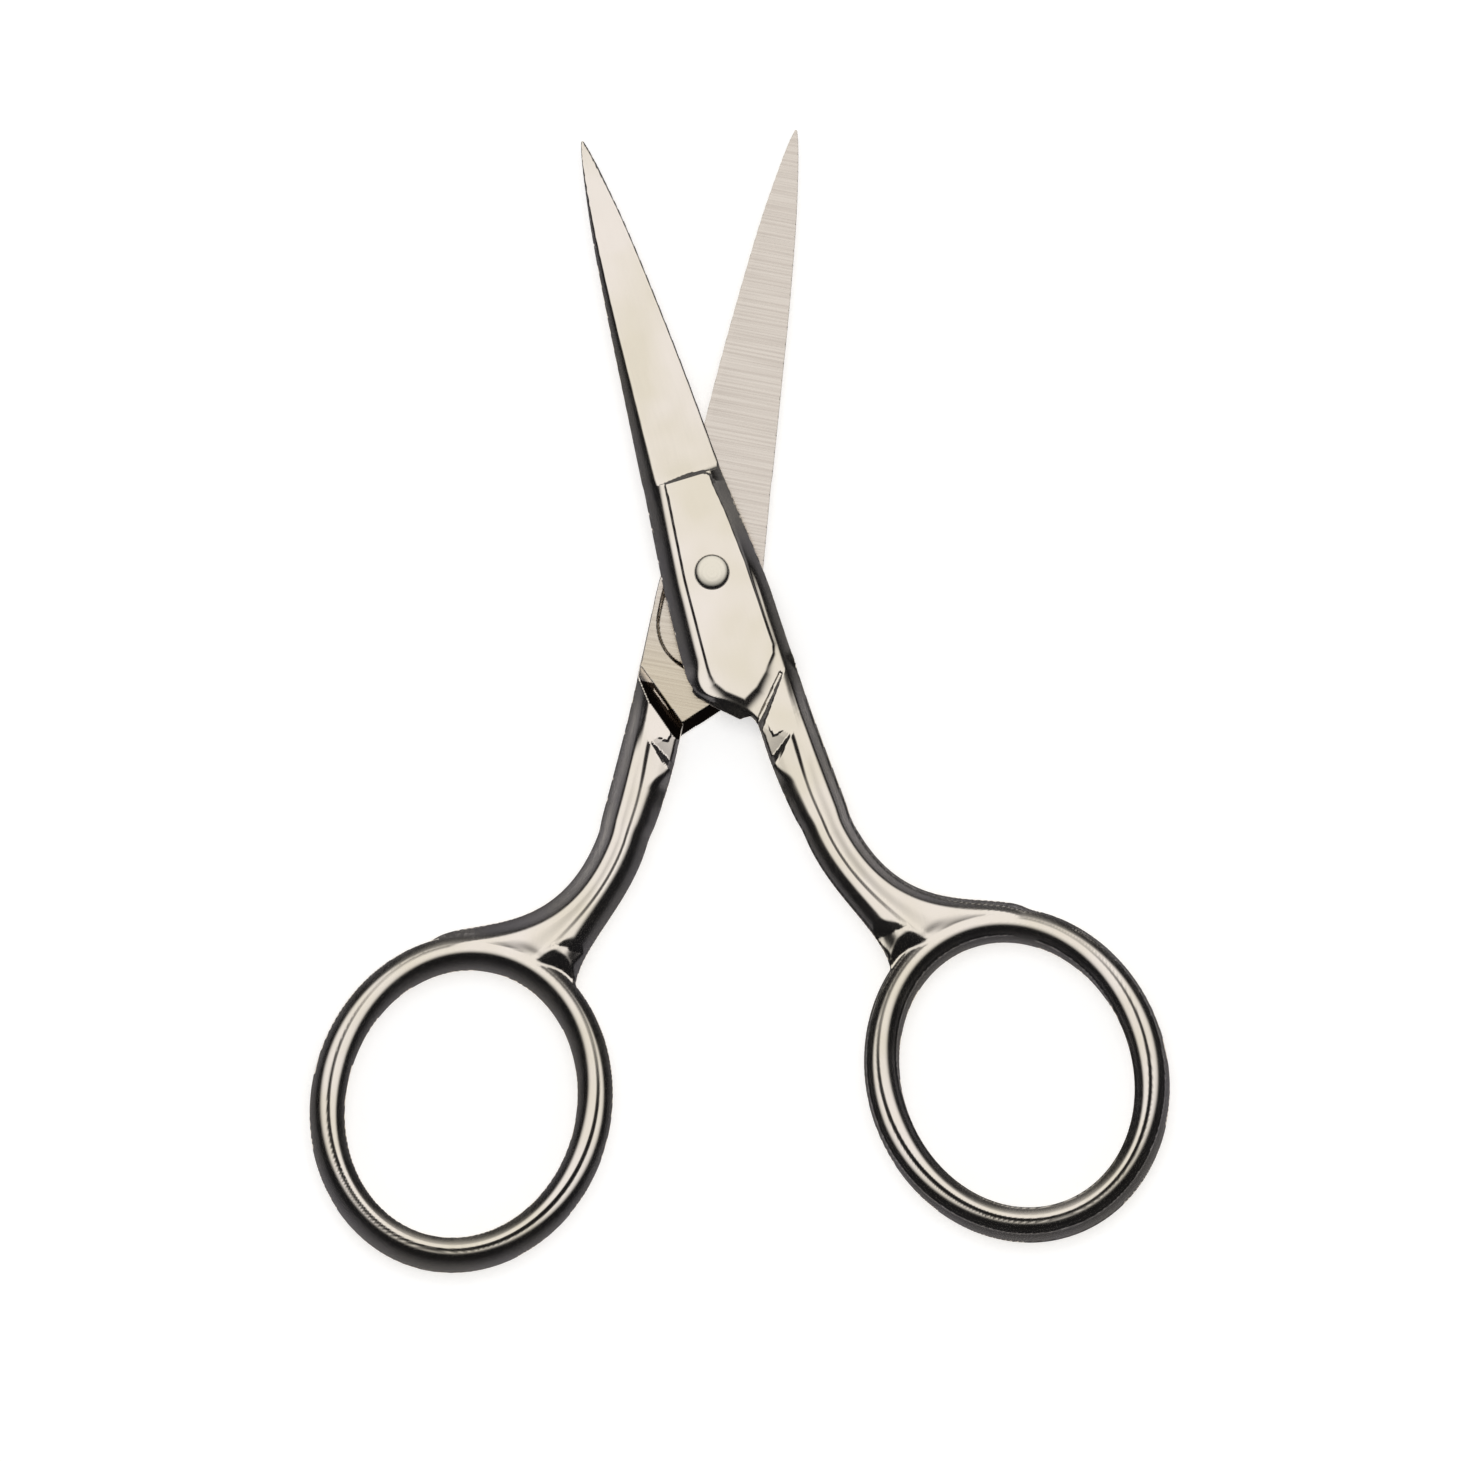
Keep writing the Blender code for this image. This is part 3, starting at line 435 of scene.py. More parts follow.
def read_plan(size, x, y, is_rear):
    """All that the field needs to know about plan points, whatever their height."""
    plan = SimpleNamespace(x=x, y=y, is_rear=is_rear)
    left, right = straight_edges(size, y)
    ahead, behind = straight_edges(size, y + PLAN_STEP), straight_edges(size, y - PLAN_STEP)
    lean = [(a - b) / (2 * PLAN_STEP) for a, b in zip(ahead, behind)]
    plan.inner = (x - left) / np.hypot(1.0, lean[0])
    plan.outer = (right - x) / np.hypot(1.0, lean[1])
    plan.run = np.zeros(x.shape)
    plan.past = np.full(x.shape, -OUTSIDE)
    plan.grow, plan.turn = ring_growth(size, x, y)
    reach = -size.neck_down - 1.4 * size.bend_drop
    plan.inner[y <= reach] = plan.outer[y <= reach] = -OUTSIDE
    # From the neck on the sides follow the bend, and sink inside the ring before they end
    bend = (y < NECK_BLEND - size.neck_down) & (y > reach)
    curves = bend_curves(size)
    inner, t_inner = curve_side(curves[0], x[bend], y[bend])
    outer, t_outer = curve_side(curves[1], x[bend], y[bend])
    share = fade(NECK_BLEND, 0.0, y[bend] + size.neck_down)
    rim = size.ring_wire / 2 - plan.grow[bend]
    for side, bent, t, soft, start, low in ((plan.inner, inner, t_inner, 3.0, 0.70, 0.30),
                                            (plan.outer, -outer, t_outer, 4.0, 0.55, 0.12)):
        sunk = rim - low * size.ring_wire * fade(start, 1.0, t)
        side[bend] = smooth_max(blend(side[bend], bent, share), sunk, soft * size.edge_break)
    plan.run[bend] = np.clip((t_inner + t_outer) / 2, 0.0, 1.0)
    plan.past[bend] = (t_outer - 1.0) * size.bend_drop
    top = size.shank_top
    for name, outline, high, low in (
            ("pad", pad_outline(size), size.blade_root + OUTLINE_MARGIN,
             -size.pad_foot - OUTLINE_MARGIN),
            ("web", web_outline(size), -0.4 * top, -1.2 * top),
            ("cove", cove_outline(size), -0.9 * top, -1.5 * top)):
        within = (y < high) & (y > low)
        depth = np.full(x.shape, -OUTSIDE)
        depth[within] = polygon_depth(outline, x[within], y[within])
        setattr(plan, name, depth)
    peak, aim = barb_line(size)
    plan.barb = (y - peak.y) * -aim.x + (x - peak.x) * aim.y
    plan.sink = (x - peak.x) * aim.x + (y - peak.y) * aim.y
    read_sections(size, plan)
    return plan


def read_sections(size, plan):
    """Heights and roundings of the bar's section at each plan point."""
    y, t = plan.y, blade_share(size, plan.y)
    face = size.inner_gap / 2
    pad_top = face + size.box_thickness
    spine = face + blend(size.tip_thickness, size.spine_thickness, t)
    width = np.maximum(plan.inner + plan.outer, size.tip_width)
    edge = np.maximum(face + blend(size.tip_thickness / 2, size.edge_thickness, t),
                      spine - 0.2 * width)
    bevel = np.minimum(size.spine_bevel * t, width * 0.25) + size.edge_break / 6
    climb = np.clip(1.0 - (y - size.blade_root) / size.root_fillet, 0.0, 1.0)
    rise = STEP_SLOW * climb ** 2 + (1.0 - STEP_SLOW) * fade(*STEP_STEEP, climb)
    down = np.clip((size.blade_root - y) / (size.blade_root + size.shank_top), 0.0, 1.0)
    low = np.clip(down / 0.60, 0.0, 1.0)
    height = pad_top - size.pad_step
    slow = fade(size.blade_root + size.root_fillet, size.blade_root - SPINE_RUN, y)
    # How far down a point lies, in shares of the way to the shank
    at = -y / size.shank_top
    foot = fade(*FOOT_RANGE, at)
    round_in = blend(blend(bevel, size.side_rounding, slow), 0.24 * size.side_rounding, foot)
    round_out = blend(np.minimum(size.edge_break, 0.2 * width),
                      size.side_rounding * blend(0.70, 0.74, low), rise)
    high_in = blend(spine, height, rise)
    high_out = blend(edge, height - size.ledge_drop * (1.0 - low), rise)
    shank = fade(*SHANK_RANGE, at)
    middle = blend(size.shank_thickness / 2, 1.04 * size.ring_thickness / 2, plan.run)
    middle = middle - 0.10 * size.ring_thickness * fade(0.75, 1.0, plan.run)
    rounder = REAR_ROUNDER if plan.is_rear else 1.0
    scoop = fade(*SCOOP_RANGE, at) * (1.0 - fade(*SCOOP_END_RANGE, at))
    round_in = blend(round_in, 1.05 * rounder * size.shank_rounding,
                     fade(*SHANK_ROUNDING_RANGE, at))
    plan.round_in = round_in * (1.0 - 0.65 * scoop)
    plan.round_out = blend(round_out, 1.2 * rounder * size.shank_rounding, shank)
    lower = fade(*LOWER_RANGE, at)
    high_in, high_out = (blend(v, 0.90 * middle, lower) for v in (high_in, high_out))
    flat = (plan.inner - plan.round_in) / np.maximum(width - plan.round_in - plan.round_out,
                                                     size.edge_break)
    top = blend(high_in, high_out, np.clip(flat, 0.0, 1.0))
    plan.brim = np.where(y > 0.0, blend(spine, height, slow), top)

    # The bead starts at the barb, and its steeper side parts it from the shank's broad facet
    share = plan.inner / width
    crease = blend(*CREASE_SHARES, fade(*CREASE_RANGE, at))
    rib = np.clip(-plan.barb / (1.8 * size.edge_break), 0.0, 1.0) * fade(*BEAD_RANGE, at)
    bead = (size.bead_rise * (1.0 + 1.1 * plan.run) * fade(0.05, 0.30, share)
            * (1.0 - fade(crease - 0.055, crease + 0.05 + 0.06 * plan.run, share)))
    facet = ((0.9 - 0.5 * plan.run) * size.bead_rise * fade(crease + 0.04, crease + 0.27, share)
             * (1.0 - fade(0.72, 0.98, share)))
    # A shallow valley where the facet runs out beside the ring's crest
    off = (plan.grow - VALLEY_GROWTH[0] * size.ring_wire) / (VALLEY_GROWTH[1] * size.ring_wire)
    aside = (plan.turn - VALLEY_TURN[0]) / VALLEY_TURN[1]
    valley = VALLEY_DEPTH * size.notch_depth * np.exp(-off ** 2 - aside ** 2)
    # The cove beside the barb deepens down its flank
    sink = np.clip(COVE_SINK * (plan.sink - 2.0 * size.edge_break), 0.0,
                   COVE_LIMIT * size.notch_depth)
    cove = np.clip(np.minimum(COVE_BARB_WALL * plan.barb, COVE_RIM_WALL * plan.cove), 0.0, sink)
    # Beyond the V groove the shank starts with a low step up from the box
    start, end = groove_line(size)
    along, side = line_place(start, end, plan)
    below, share = -side, np.clip(along / (end - start).length, 0.0, 1.0)
    swell = np.clip(SWELL_SLOPE * below, 0.0, size.groove_depth * blend(*SWELL_HEIGHTS, share)
                    * (1.0 - fade(0.5 * size.groove_width, 4.2 * size.groove_width, below)))
    swell = swell * (1.0 - fade(0.95, 1.15, plan.x / end.x)) - cove
    plan.top = top + rib * bead + shank * facet - valley + swell
    plan.brim = plan.brim + swell


def line_place(start, end, plan):
    """How far along a line each plan point lies, and how far to its left."""
    run = (end - start).normalized()
    dx, dy = plan.x - start.x, plan.y - start.y
    return dx * run.x + dy * run.y, dy * run.x - dx * run.y


def past_shoulder(size, x, y):
    """How far a plan point lies past the foot of the shoulder's wall."""
    return (x * math.sin(FOOT_TURN) - y * math.cos(FOOT_TURN) - size.foot_reach
            - size.foot_clearance)


def groove_line(size):
    """The V groove's two ends, in plan."""
    sine, cosine = math.sin(FOOT_TURN), math.cos(FOOT_TURN)
    width = size.shank_top_width * 0.68
    return (Vector((0.0, -(size.foot_reach + size.groove_slant) / cosine)),
            Vector((width, (width * sine - size.foot_reach) / cosine)))


def barb_line(size):
    """The barb's peak and the direction in which its flank runs down, in plan."""
    peak = Vector((0.54 * size.shank_top_width, -size.shank_top - size.barb_drop))
    return peak, Vector(BARB_AIM)


def ground_side(edge, reach):
    """Drop and slope of a ground side, by its distance in from the silhouette.

    It leaves the flat at about 26 degrees and soon holds 38 as far as the silhouette.
    """
    t = 1.0 - edge / reach
    over = np.clip(t, 0.0, 1.2)
    left = 1.0 - over
    return (reach * (0.48 * np.minimum(t, 0.0) + 0.78 * over - 0.075 * (1.0 - left ** 4)),
            0.78 - 0.30 * left ** 3)


def bar_field(size, plan, z):
    """Blade, box, shank and bend, alike above and below the shear plane."""
    field = np.abs(z) - plan.top
    for edge, reach, brim in ((plan.inner, plan.round_in, plan.brim),
                              (plan.outer, plan.round_out, plan.top)):
        drop, slope = ground_side(edge, reach)
        crease = np.minimum(0.11 * reach, 1.3 * size.edge_break)
        slant = (np.abs(z) - brim + drop) / np.hypot(1.0, slope)
        field = smooth_max(field, slant, crease)
    side = -np.minimum(plan.inner, plan.outer)
    return smooth_max(field, side, 0.7 * size.edge_break)


def ring_field(size, plan, z):
    """The finger ring, whose crest leans a little towards the top of the object."""
    half = size.ring_wire / 2
    crest = RING_CREST * half * np.sin(np.radians(plan.turn))
    off = plan.grow - crest
    reach = np.where(off > 0.0, half - crest, half + crest)
    t = np.abs(off) / reach
    # The crest is broad at the ring's sides and narrow at its top and bottom
    c, s = np.cos(np.radians(plan.turn)), np.sin(np.radians(plan.turn))
    broad = 0.05 + 0.21 * c ** 4 - 0.17 * np.maximum(np.sign(off) * s, 0.0)
    u = np.clip((t - broad) / 0.5, 0.0, 1.0)
    over = np.maximum(t - broad - 0.5, 0.0)
    drop = reach * (0.25 * u ** 3 * (1.0 - 0.5 * u) + 0.5 * over + 0.15 * t * t)
    slope = 0.5 * u * u * (3.0 - 2.0 * u) + 0.3 * t
    step = size.crest_step * (1.0 + 0.6 * c ** 2) * fade(-0.12 * half, 0.20 * half, off)
    slant = (np.abs(z) - size.ring_thickness / 2 + drop + step) / np.hypot(1.0, slope)
    return smooth_max(slant, np.abs(plan.grow) - half, 0.5 * size.edge_break)


def vee_cut(start, end, depths, slopes, bed, surface, plan, z, face):
    """A V cut from start to end into a surface: depth at each end, slope of each wall.

    The first wall rises to the left of the line, beyond a flat bed, and the second to its right.
    """
    (a, c), run = line_place(start, end, plan), (end - start).length
    share = np.clip(a / run, 0.0, 1.0)
    past = np.maximum(np.maximum(-a, a - run), 0.0)
    rise = slopes[0] * np.maximum(c - bed, 0.0) + slopes[1] * np.maximum(-c, 0.0) + 2.0 * past
    floor = surface - blend(depths[0], depths[1], share) + rise
    return (face * z - floor) / np.hypot(1.0, np.where(c > 0.0, slopes[0], slopes[1]))


def forged_half(size, plan, z, is_rear):
    """One whole half: negative inside the metal, in metres from its surface nearby."""
    tight, face = size.edge_break, size.inner_gap / 2
    pad_top = face + size.box_thickness
    field = bar_field(size, plan, z)
    field = np.maximum(field, plan.y - size.blade_reach)
    field = np.maximum(field, np.maximum(plan.past, -plan.grow))

    # The notch beside the bead's end, then the slope down which the bar sinks into the ring
    inner = Vector(ring_spot(size, RING_JOIN_TURNS[0] - 12.0, size.ring_wire / 2))
    mouth = inner + Vector(NOTCH_MOUTH) * size.notch_length
    point = inner + Vector(NOTCH_POINT) * size.notch_length
    depths = [share * size.notch_depth for share in NOTCH_DEPTHS]
    for side in (1.0, -1.0):
        notch = vee_cut(mouth, point, depths, NOTCH_SLOPES, 0.0, plan.top, plan, z, side)
        notch = np.minimum(notch, point.x + 0.25 * size.notch_length - plan.x)
        field = smooth_max(field, notch, tight / 2)
    corner = fade(*RAMP_TURNS, plan.turn)
    sinking = blend(*RAMP_SLOPES, corner)
    ramp = (blend(*RAMP_HEIGHTS, corner) * size.ring_thickness
            + sinking * (plan.grow - 0.35 * size.ring_wire))
    field = smooth_max(field, (np.abs(z) - ramp) / np.hypot(1.0, sinking), tight)

    along, round_foot, at_root = PAD_SLOPES
    slant = blend(along, round_foot, fade(0.62 * size.pad_foot, 0.80 * size.pad_foot, -plan.y))
    slant = blend(slant, at_root, fade(0.85 * size.blade_root, 0.95 * size.blade_root, plan.y))
    wall = (z - pad_top + size.pad_step - slant * plan.pad) / np.hypot(1.0, slant)
    pad = smooth_max(z - pad_top, wall, 0.5 * tight)
    pad = np.maximum(pad, pad_top - 6.0 * size.pad_step - z)
    soft = blend(0.6, 1.3, fade(0.55 * size.pad_foot, 0.85 * size.pad_foot, -plan.y))
    field = smooth_min(field, pad, soft * tight)
    if is_rear:
        side = INNER_SIDE_SHARES[3][1] * size.box_inner_offset
        lean = size.web_lean * z / size.web_height - side - plan.x
        web = smooth_max(smooth_max(z - size.web_height, -plan.web, tight), lean, tight)
        field = smooth_min(field, np.maximum(web, -z), tight)
    soft = blend(1.4 * tight, 0.5 * tight, fade(0.75, 1.0, plan.run))
    field = smooth_min(field, ring_field(size, plan, z), soft)

    # The milled inner face with its hollow, down to the shoulder's slanted wall
    sine, cosine = math.sin(FOOT_TURN), math.cos(FOOT_TURN)
    steep = size.foot_run / (size.shank_thickness / 2)
    lower = face + hollow_depth(size, plan)
    wall = past_shoulder(size, plan.x, plan.y) - steep * (face - z)
    seat = smooth_max(z - lower, wall / math.hypot(1.0, steep), 1.2 * tight)
    field = smooth_max(field, -seat, tight)
    foot = -plan.x * sine - plan.y * cosine
    cut = np.maximum(size.foot_reach + steep * z - foot, plan.x)
    cut = np.maximum(cut, -plan.y - 1.25 * size.shank_top)
    field = smooth_max(field, -cut, tight)

    # The V groove at the foot
    start, end = groove_line(size)
    depths = [share * size.groove_depth for share in GROOVE_DEPTHS]
    groove = vee_cut(start, end, depths, GROOVE_SLOPES, GROOVE_BED * size.groove_width, plan.top,
                     plan, z, 1.0)
    field = smooth_max(field, groove, tight / 2)

    bore = size.rivet_diameter / 2 + size.rivet_clearance
    if is_rear:
        flare = np.clip((z - pad_top + size.tail_depth) / size.tail_depth, 0.0, 1.0)
        bore = bore + size.tail_flare * flare
    return np.maximum(field, bore - np.hypot(plan.x, plan.y))


def hollow_depth(size, plan):
    """Depth of the hollow that is ground into the blade's inner face, with its round end."""
    middle = (plan.outer - plan.inner) / 2
    half = (plan.outer + plan.inner) / 2 - size.hollow_rim
    start = size.box_outer_offset - size.hollow_runout
    turn = np.clip((start - plan.y) / size.box_outer_offset, 0.0, 1.2)
    reach = np.maximum(half * np.sqrt(np.maximum(1.0 - turn * turn, 0.0)), size.edge_break / 3)
    growth = np.clip(0.2 + 4.0 * (size.blade_reach - HOLLOW_START - plan.y)
                     / (size.blade_reach - start), 0.0, 1.0)
    across = np.clip(1.0 - (middle / reach) ** 2, 0.0, 1.0)
    shallow = size.hollow_depth * growth * across * np.minimum(reach / (0.8 * size.edge_offset),
                                                               1.0)
    # The wheel runs in deeper at the end, so the end has a short steep wall
    away = 1.0 - np.hypot(middle / np.maximum(half, size.edge_break), turn)
    wall = np.clip(away * size.box_outer_offset / (3.2 * size.edge_break), 0.0, 1.0)
    deepening = 1.0 - fade(start + HOLLOW_DEEPENING[0], start + HOLLOW_DEEPENING[1], plan.y)
    deep = 1.8 * size.hollow_depth * deepening
    return (shallow * (1.0 - fade(0.0, 1.0, turn)) + deep * wall * wall * (3.0 - 2.0 * wall)) * (
        turn < 1.0)


# From a field to a mesh

# Grid spacing in mesh steps: across the box, along the blade, from front to back
FINER, COARSER, UPRIGHT = 0.80, 1.18, 0.90
# Leans from the flat that count as an edge's, in degrees, and the one tilt they are given
EDGE_LEANS, EDGE_TILT = (44.0, 86.0), 38.0
HOLLOW_LEANS, HOLLOW_TILT = (10.0, 86.0), 17.0


def sculpt(size, is_rear):
    """Mesh one half's field: (points, faces, normals), in the half's own frame."""
    step = size.mesh_step
    x0, y0, across, along = ring_centre(size)
    wide = 1.2 * size.ring_wire
    low = (-size.box_inner_offset - wide / 3, y0 - along - wide,
           -size.shank_thickness / 2 - wide / 6)
    high = (x0 + across + wide, size.blade_reach + wide / 6, size.box_thickness + wide / 6)
    finer, coarser = FINER * step, COARSER * step
    split = (size.box_inner_offset + wide / 3, -1.4 * size.shank_top)
    axes = [np.concatenate([np.arange(low[n], split[n], first),
                            np.arange(split[n], high[n], second)])
            for n, first, second in ((0, finer, coarser), (1, coarser, finer))]
    axes.append(np.arange(low[2], high[2], UPRIGHT * step))
    gx, gy = np.meshgrid(axes[0], axes[1], indexing="ij")
    plan = read_plan(size, gx.ravel(), gy.ravel(), is_rear)
    shown = np.minimum(plan.inner, plan.outer) > -3 * step
    shown &= plan.y < size.blade_reach + 3 * step
    shown |= np.abs(plan.grow) < size.ring_wire / 2 + 3 * step
    shown |= plan.web > -3 * step
    columns = SimpleNamespace(**{k: v[shown][:, None] for k, v in vars(plan).items()
                                 if k != "is_rear"})
    field = np.full((shown.size, len(axes[2])), OUTSIDE)
    field[shown] = forged_half(size, columns, axes[2][None, :], is_rear)
    field = field.reshape(len(axes[0]), len(axes[1]), len(axes[2]))
    points, faces = surface_net(field, axes)
    for _ in range(3):
        value, slope = field_slope(size, points, is_rear)
        steep = np.maximum((slope * slope).sum(1), 0.05)
        move = (-value / steep)[:, None] * slope
        far = np.maximum(np.linalg.norm(move, axis=1) / (0.5 * step), 1.0)
        points = points + move / far[:, None]
    value, slope = field_slope(size, points, is_rear)
    normals = slope / np.maximum(np.linalg.norm(slope, axis=1), 1e-9)[:, None]
    # An edge narrower than the mesh gets one tilt all along, so that its line isn't broken
    flat = np.hypot(normals[:, 0], normals[:, 1])
    inside = (normals[:, 2] < 0.0) & (points[:, 2] < 3 * size.hollow_depth)
    inside &= (points[:, 2] > -size.hollow_depth) & (points[:, 1] > 0.0)
    for some, leans, tilt in ((~inside, EDGE_LEANS, EDGE_TILT),
                              (inside, HOLLOW_LEANS, HOLLOW_TILT)):
        lean = np.degrees(np.arctan2(flat, np.abs(normals[:, 2])))
        some = some & (lean > leans[0]) & (lean < leans[1])
        turned = math.sin(math.radians(tilt)) / flat[some]
        normals[some, :2] *= turned[:, None]
        normals[some, 2] = np.sign(normals[some, 2]) * math.cos(math.radians(tilt))
    return points, faces, normals


def field_slope(size, points, is_rear):
    """The field and its slope at points, by small steps each way."""
    near = FIELD_STEP
    x, y, z = points.T
    here = read_plan(size, x, y, is_rear)
    value = forged_half(size, here, z, is_rear)
    slope = np.empty(points.shape)
    for axis, (dx, dy) in enumerate(((near, 0.0), (0.0, near))):
        ahead = forged_half(size, read_plan(size, x + dx, y + dy, is_rear), z, is_rear)
        behind = forged_half(size, read_plan(size, x - dx, y - dy, is_rear), z, is_rear)
        slope[:, axis] = (ahead - behind) / (2 * near)
    slope[:, 2] = (forged_half(size, here, z + near, is_rear)
                   - forged_half(size, here, z - near, is_rear)) / (2 * near)
    return value, slope


def surface_net(field, axes):
    """Closed quads round the cells where a gridded field changes sign."""
    inside = field < 0.0
    corners = [(i, j, k) for i in (0, 1) for j in (0, 1) for k in (0, 1)]
    nx, ny, nz = (n - 1 for n in field.shape)
    count = sum(inside[i:nx + i, j:ny + j, k:nz + k].astype(np.int8) for i, j, k in corners)
    cells = np.argwhere((count > 0) & (count < 8))
    label = np.full((nx, ny, nz), -1, np.int64)
    label[tuple(cells.T)] = np.arange(len(cells))
    values = {c: field[tuple((cells + c).T)] for c in corners}
    total, hits = np.zeros((len(cells), 3)), np.zeros(len(cells))
    for a in corners:
        for axis in range(3):
            if a[axis]:
                continue
            b = tuple(1 if n == axis else v for n, v in enumerate(a))
            va, vb = values[a], values[b]
            crossed = (va < 0.0) != (vb < 0.0)
            share = np.where(crossed, va / np.where(crossed, va - vb, 1.0), 0.0)
            spot = np.array(a, float)[None, :] + share[:, None] * (np.array(b) - np.array(a))
            total += spot * crossed[:, None]
            hits += crossed
    share = total / hits[:, None]
    points = np.stack([blend(axis[cells[:, n]], axis[cells[:, n] + 1], share[:, n])
                       for n, axis in enumerate(axes)], 1)
    faces = []
    for axis in range(3):
        u, v = (axis + 1) % 3, (axis + 2) % 3
        first = [slice(None)] * 3
        second = [slice(None)] * 3
        first[axis], second[axis] = slice(0, -1), slice(1, None)
        for cut in (first, second):
            cut[u], cut[v] = slice(1, -1), slice(1, -1)
        a, b = inside[tuple(first)], inside[tuple(second)]
        for start, order in ((a & ~b, 1), (b & ~a, -1)):
            at = np.argwhere(start)
            at[:, u] += 1
            at[:, v] += 1
            quad = []
            for du, dv in ((0, 0), (1, 0), (1, 1), (0, 1))[::order]:
                cell = at.copy()
                cell[:, u] += du - 1
                cell[:, v] += dv - 1
                quad.append(label[tuple(cell.T)])
            faces.append(np.stack(quad, 1))
    return points, np.concatenate(faces)


def painted_shade_and_stain_share(size, points):
    """Share of painted shade and stain: 1 on the milled foot and shoulder, and less on the land
    by them; the plate is darkened by it as painted shade, the ground steel is yellowed by it as a
    stain.
    """
    x, y, z = points.T
    sine, cosine = math.sin(FOOT_TURN), math.cos(FOOT_TURN)
    steep = size.foot_run / (size.shank_thickness / 2)
    near = 0.2 * size.edge_break
    place = past_shoulder(size, x, y)
    shoulder = (place + steep * (z - size.inner_gap / 2)) / math.hypot(1.0, steep)
    foot = (x * sine + y * cosine + size.foot_reach + steep * z) / math.hypot(1.0, steep)
    on_shoulder = (np.abs(shoulder) < near) & (z < -near)
    on_foot = (np.abs(foot) < near) & (x < 0.0) & (y > -1.25 * size.shank_top)
    # The shoulder's outer end and a line in its middle are left out of the painted shade, so they
    # show bright
    end = (y > -0.75 * size.shank_top) & (x > 0.68 * size.shank_top_width)
    unshaded_line = ((np.abs(place - 0.26 * size.foot_run) < 0.06 * size.foot_run)
              & (x > 0.31 * size.shank_top_width) & (x < 0.63 * size.shank_top_width))
    land = 0.35 * fade(0.0, 0.95 * size.pad_foot, -y) * (z > -near) * (z < 3 * size.hollow_depth)
    return np.where(on_shoulder & ~end & ~unshaded_line, 1.0, np.where(on_foot, 0.96, land))


def add_object(name, data):
    """Put an object that holds the data into the scene."""
    thing = bpy.data.objects.new(name, data)
    bpy.context.scene.collection.objects.link(thing)
    return thing


def shaped_object(name, mesh, material):
    """Turn a shaped mesh into an object of one material."""
    data = bpy.data.meshes.new(name)
    mesh.to_mesh(data)
    mesh.free()
    data.materials.append(material)
    return add_object(name, data)


def half_object(size, name, is_rear, pose, materials):
    """Make one half's object from its field, with smooth normals and two finishes."""
    points, faces, normals = sculpt(size, is_rear)
    data = bpy.data.meshes.new(name)
    data.vertices.add(len(points))
    data.vertices.foreach_set("co", points.astype(np.float32).ravel())
    data.loops.add(faces.size)
    data.loops.foreach_set("vertex_index", faces.astype(np.int32).ravel())
    data.polygons.add(len(faces))
    data.polygons.foreach_set("loop_start", np.arange(0, faces.size, 4, dtype=np.int32))
    data.update(calc_edges=True)
    data.validate()
    for material in materials:
        data.materials.append(material)
    middle = points[faces].mean(1)
    facing = normals[faces].mean(1)
    ground = past_shoulder(size, middle[:, 0], middle[:, 1]) < 0.0
    ground &= (facing[:, 2] < -0.9) & (middle[:, 2] < 3 * size.hollow_depth)
    data.polygons.foreach_set("material_index", ground.astype(np.int32))
    # The share of painted shade and stain is kept on the points
    painted_shade_and_stain = data.attributes.new("painted_shade_and_stain", "FLOAT", "POINT")
    painted_shade_and_stain.data.foreach_set("value", painted_shade_and_stain_share(size, points).astype(np.float32))
    data.transform(pose)
    normals = normals @ np.array(pose.to_3x3()).T
    data.shade_smooth()
    data.normals_split_custom_set_from_vertices(normals.astype(np.float32))
    return add_object(name, data)


# Finishes


def add_node(tree, kind, inputs=(), **settings):
    """Add a node. inputs pairs its sockets with values or with the sockets that feed them."""
    made = tree.nodes.new("ShaderNode" + kind)
    for key, value in settings.items():
        setattr(made, key, value)
    for key, value in dict(inputs).items():
        if isinstance(value, bpy.types.NodeSocket):
            tree.links.new(value, made.inputs[key])
        else:
            made.inputs[key].default_value = value
    return made


def new_material(name):
    """An empty node material and its tree."""
    material = bpy.data.materials.new(name)
    material.use_nodes = True
    material.node_tree.nodes.clear()
    return material, material.node_tree


def bare_metal(tree, colour, rough, height, strength, distance):
    """Close a metal's material: its colour, its roughness and its fine relief."""
    bump = add_node(tree, "Bump", {"Strength": strength, "Distance": distance,
                                   "Height": height})
    shader = add_node(tree, "BsdfPrincipled", {
        "Base Color": colour, "Metallic": 1.0, "Roughness": rough, "Normal": bump.outputs[0]})
    add_node(tree, "OutputMaterial", {"Surface": shader.outputs[0]})


